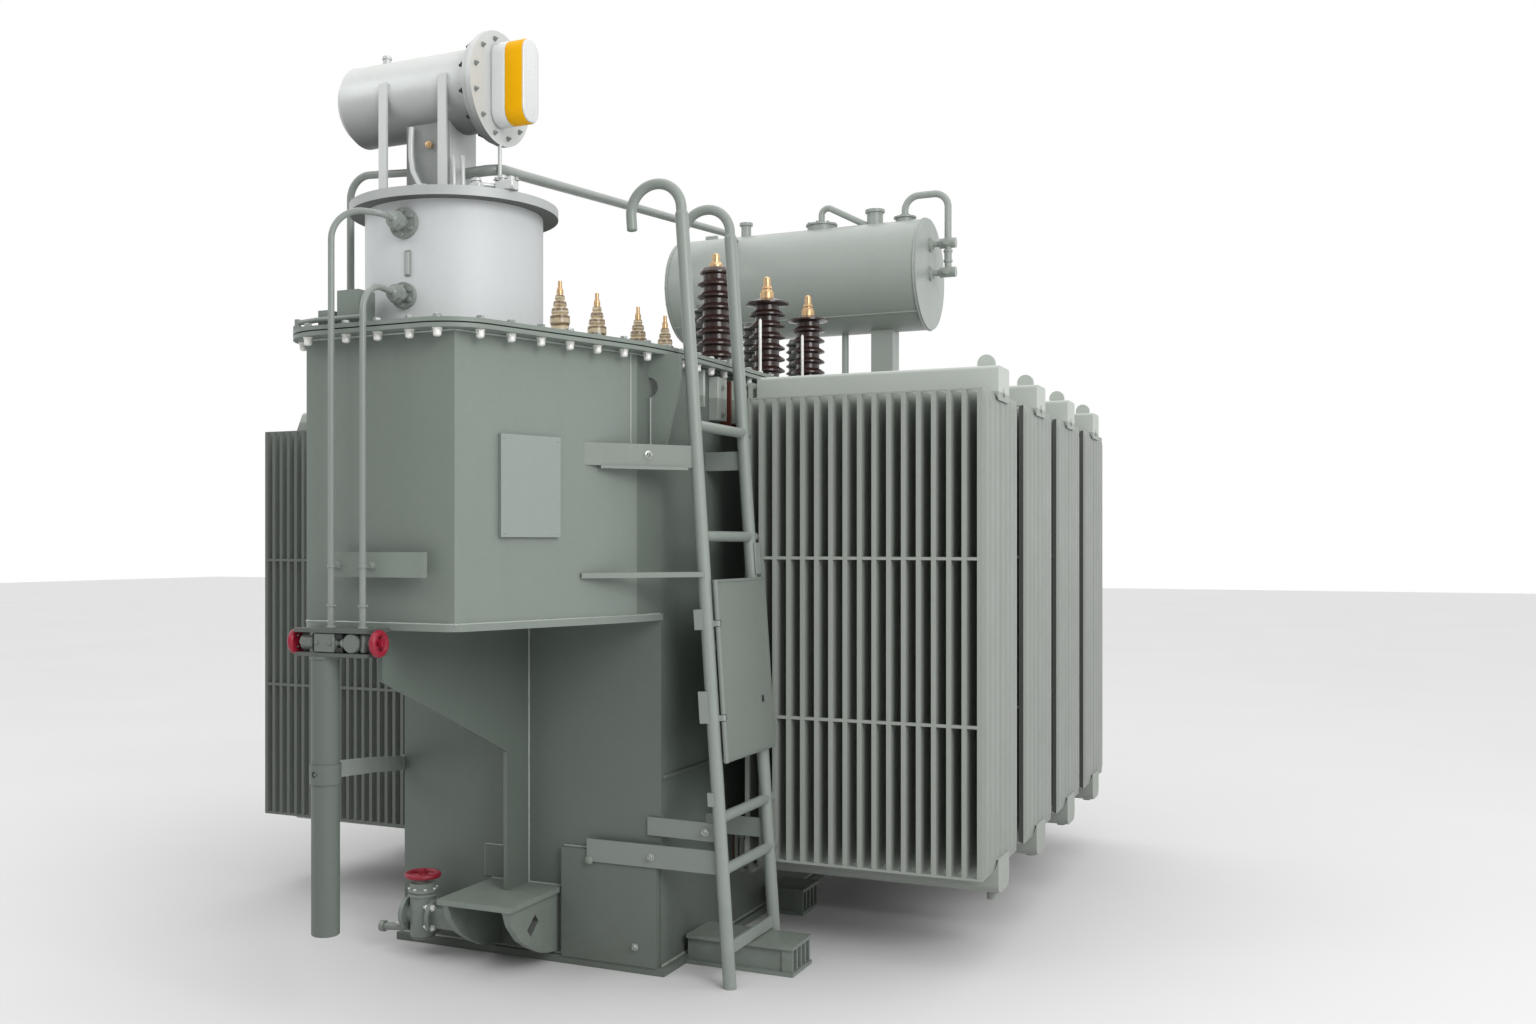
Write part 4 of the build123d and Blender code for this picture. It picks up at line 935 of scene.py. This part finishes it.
# the drop tube fittings take the darker drop tube paint: painted shade
v = Mesh()
v.lathe((-120, -2340, 1070), (0, 0, -1), [(40, 0), (43.8, 0.6), (43.8, 8), (41, 10)], 28)
v.hexa((-512, -1405, 616), (-1, 0, 0), 10, 8, 0.2)
put(v, "drop_tube_fittings", "tube_paint")
v = Mesh()
v.lathe((-124, -2383.9, 738), (0, -1, 0), [(9.5, -5), (9.5, -0.5), (8.6, 0), (4.4, 0), (4.0, -1.2), (0, -1.4)], 24)
v.hexa((-190, -2290, 729), (0.92, -0.39, 0), 5, 4, 0.2)
put(v, "strap_bolts", "dark")

DX, DY, DZ = -338.0, -1560.0, 132.0
v, n = Mesh(), Mesh()
v.lathe((DX, DY, 196), (0, 0, 1), [(43, 0), (50, 0.8), (50, 9), (44, 10), (44, 14), (50, 15), (50, 24), (40, 26), (30, 34), (20, 46), (16, 47)], 24)
v.lathe((DX, DY, 60), (0, 0, -1), [(43, 0), (38, 6), (20, 11), (0, 12)], 20)
v.tube([(DX - 60, DY - 18, DZ - 44), (DX - 92, DY - 20, DZ - 48), (DX - 140, DY - 22, DZ - 52)], 13, 14)
v.lathe((DX - 138, DY - 22, DZ - 52), (-1, 0, 0), [(14, 0), (19, 1), (19, 18), (13, 21), (0, 22)], 14)
put(v, "drain_valve_body", "fitting_paint")
for i in range(4):
    a = pi / 4 + i * pi / 2
    p = (DY + 46 * cos(a), DZ + 46 * sin(a))
    n.stud((DX + 44, *p), (-1, 0, 0), 9, 8, a)
    n.hexa((DX + 60, *p), (1, 0, 0), 9, 8, a)
for i in range(8):
    a = 2 * pi * i / 8
    n.hexa((DX + 46 * cos(a), DY + 46 * sin(a), 220), (0, 0, 1), 5.5, 5, a, False)
put(n, "drain_valve_bolts", "bolt_white")
v = Mesh()
for i in range(2):
    p = (DY + 46 * cos(pi / 4 + pi * i), DZ + 46 * sin(pi / 4 + pi * i))
    v.lathe((DX - 62, *p), (-1, 0, 0), [(9, 0), (9, 8), (6, 9), (6, 24), (5, 25)], 10)
put(v, "drain_flange_studs", "zinc_steel")
v = Mesh()
v.lathe((DX, DY, 274), (0, 0, 1), [(12, 0), (14, 1), (14, 7), (9, 8), (9, 12), (0, 13)], 6, 0.2, False)
put(v, "drain_wheel_nut", "wheel_red", "drain_wheel")
for s, x, body in ((-1, -231.4, "left_wheel"), (1, 76.9, "right_wheel")):
    v = Mesh()
    v.lathe((x, -2340, VZ), (s, 0, 0), [(11, 0), (12, 0.8), (12, 5), (6, 6), (6, 9), (0, 9.6)], 6, 0.2, False)
    put(v, body + "_nut", "wheel_red", body)

# ------------------------------------------------------------------ lower front and ladder
f = Mesh()
f.stud((419, -1465, 86), (0, -1, 0), 9, 8, 0.3)
f.stud((480, -1473, 383), (0, -1, 0), 10, 9, 0.4)
f.stud((665, -1463, 477), (0, -1, 0), 10, 9, 0.2)
f.stud((542, -1615, 1661), (0.8037, -0.595, 0), 10, 9, 0.3)
put(f, "bracket_bolts", "zinc_steel")
f = Mesh()
f.box((246, -1478, 340), (262, -1462, 350), 3)
f.lathe((254, -1474, 352), (0, -1, 0), [(16, 0), (15, 3), (9, 7), (0, 9)], 12)
put(f, "bracket_weld_blob", "tank_paint")

YZX = Matrix(((0, 0, 1, 0), (1, 0, 0, 0), (0, 1, 0, 0), (0, 0, 0, 1)))
# near-black sheets inside the jacking pad slots: painted shade
f = Mesh()
for q in (1, -1):
    f.prism([(q * y, z) for y, z in ((-1597, 196), (-1565, 160), (-1620, 115), (-1651, 150))][::-q], 99.4, 101.2, YZX)
put(f, "jacking_pad_slot_shade", "dark")

la = radians(3.9)
LP = Matrix.Translation((755, -1474, 0)) @ Matrix((Vector((cos(la), 0, sin(la))), Vector((0, 1, 0)), Vector((-sin(la), 0, cos(la))))).transposed().to_4x4()
RUNGS = (365.0, 527.0, 715.0, 1065.0, 1413.0, 1765.0)
f = Mesh()
for z in RUNGS:
    f.lathe(LP @ Vector((0, 394 + 14, z)), (0, 1, 0), [(17, 0), (17, 26), (15, 29), (0, 30)], 18)
    for y, s in ((0, 1), (394, -1)):
        ring = [LP @ Vector((18.0 * cos(a), y + s * sqrt(21.0 ** 2 - (18.0 * cos(a)) ** 2), z + 18.0 * sin(a))) for a in [2 * pi * i / 20 for i in range(21)]]
        f.tube(ring, 2.6, 6)
put(f, "ladder_rung_ends", "ladder_paint")
f = Mesh()
for y in (0, 394):
    f.lathe(LP @ Vector((-178, y, 2415)), LP.to_3x3() @ Vector((0, 0, -1)), [(17, -2), (17.5, 0), (15, 4), (8, 6), (0, 7)], 20)
    f.lathe(LP @ Vector((0, y, 2436)), LP.to_3x3() @ Vector((0, 0, 1)), [(21, -3), (21.4, -1), (20.6, 2), (18.4, 8), (17, 12)], 24)
put(f, "ladder_hook_caps", "ladder_paint")
f = Mesh()
f.box((8, 404, 1284), (24, 424, 1392), 2.0, LP)
f.box((19, 380, 1284), (24.5, 424, 1392), 1.5, LP)
put(f, "ladder_stop_tab", "ladder_paint")
G = LP
f = Mesh()
f.box((37, 318, 856), (38.4, 342, 884), 0.6, G)
put(f, "gate_lock_plate", "tank_paint", "gate")
# near-black inlay in the lock plate: painted shade in the slot
f = Mesh()
f.box((37.4, 321, 859), (39.8, 339, 881), 0.8, G)
put(f, "gate_lock_slot", "dark", "gate")
f = Mesh()
for lo, hi in (((37, 14, 704), (39, 414, 710)), ((37, 14, 1264), (39, 414, 1270)), ((37, 410, 710), (39, 416, 1264))):
    f.box(lo, hi, 0.9, G)
put(f, "gate_hem", "tank_paint", "gate")

# ------------------------------------------------------------------ stage
def plane(name, verts, mat):
    me = bpy.data.meshes.new(name)
    me.from_pydata(verts, [], [tuple(range(len(verts)))])
    ob = bpy.data.objects.new(name, me)
    bpy.context.scene.collection.objects.link(ob)
    me.materials.append(mat)
    return ob


fm, fnt, fb = new_mat("floor_pale")
fo = coords(fnt)
fnt.links.new(mix(fnt, noise(fnt, fo, 0.6, 4.0), (0.60, 0.60, 0.60, 1), (0.64, 0.64, 0.64, 1)), fb.inputs["Base Color"])
fb.inputs["Roughness"].default_value = 0.9
fb.inputs["Specular IOR Level"].default_value = 0.1
plane("floor", [(-40, -40, -0.0005), (40, -40, -0.0005), (40, 40, -0.0005), (-40, 40, -0.0005)], fm)

world = bpy.data.worlds.new("studio")
bpy.context.scene.world = world
world.use_nodes = True
bg = world.node_tree.nodes["Background"]
bg.inputs[0].default_value = (1.0, 1.0, 1.0, 1.0)
wn = world.node_tree
wc = wn.nodes.new("ShaderNodeTexCoord")
ws = wn.nodes.new("ShaderNodeSeparateXYZ")
wn.links.new(wc.outputs["Generated"], ws.inputs[0])
wa = wn.nodes.new("ShaderNodeMath")
wa.operation = "ADD"
wn.links.new(maprange(wn, ws.outputs[1], -0.4, 0.2, 0.42, 1.0), wa.inputs[0])
wn.links.new(maprange(wn, ws.outputs[2], 0.40, 0.95, 0.0, 0.9), wa.inputs[1])
wn.links.new(wa.outputs[0], bg.inputs[1])
bpy.context.scene.view_settings.view_transform = "Standard"


def area(name, loc, target, size, power, col=(1, 1, 1)):
    ld = bpy.data.lights.new(name, "AREA")
    ld.shape = "RECTANGLE"
    ld.size, ld.size_y = size
    ld.energy = power
    ld.color = col
    ob = bpy.data.objects.new(name, ld)
    ob.location = loc
    ob.rotation_euler = (Vector(target) - Vector(loc)).to_track_quat("-Z", "Y").to_euler()
    bpy.context.scene.collection.objects.link(ob)


area("key", (7.4, -6.0, 5.3), (0.3, -0.6, 1.3), (4.5, 4.5), 450.0)
area("fill", (-5.2, -6.2, 6.4), (0.0, -1.9, 2.4), (4.0, 4.0), 120.0)
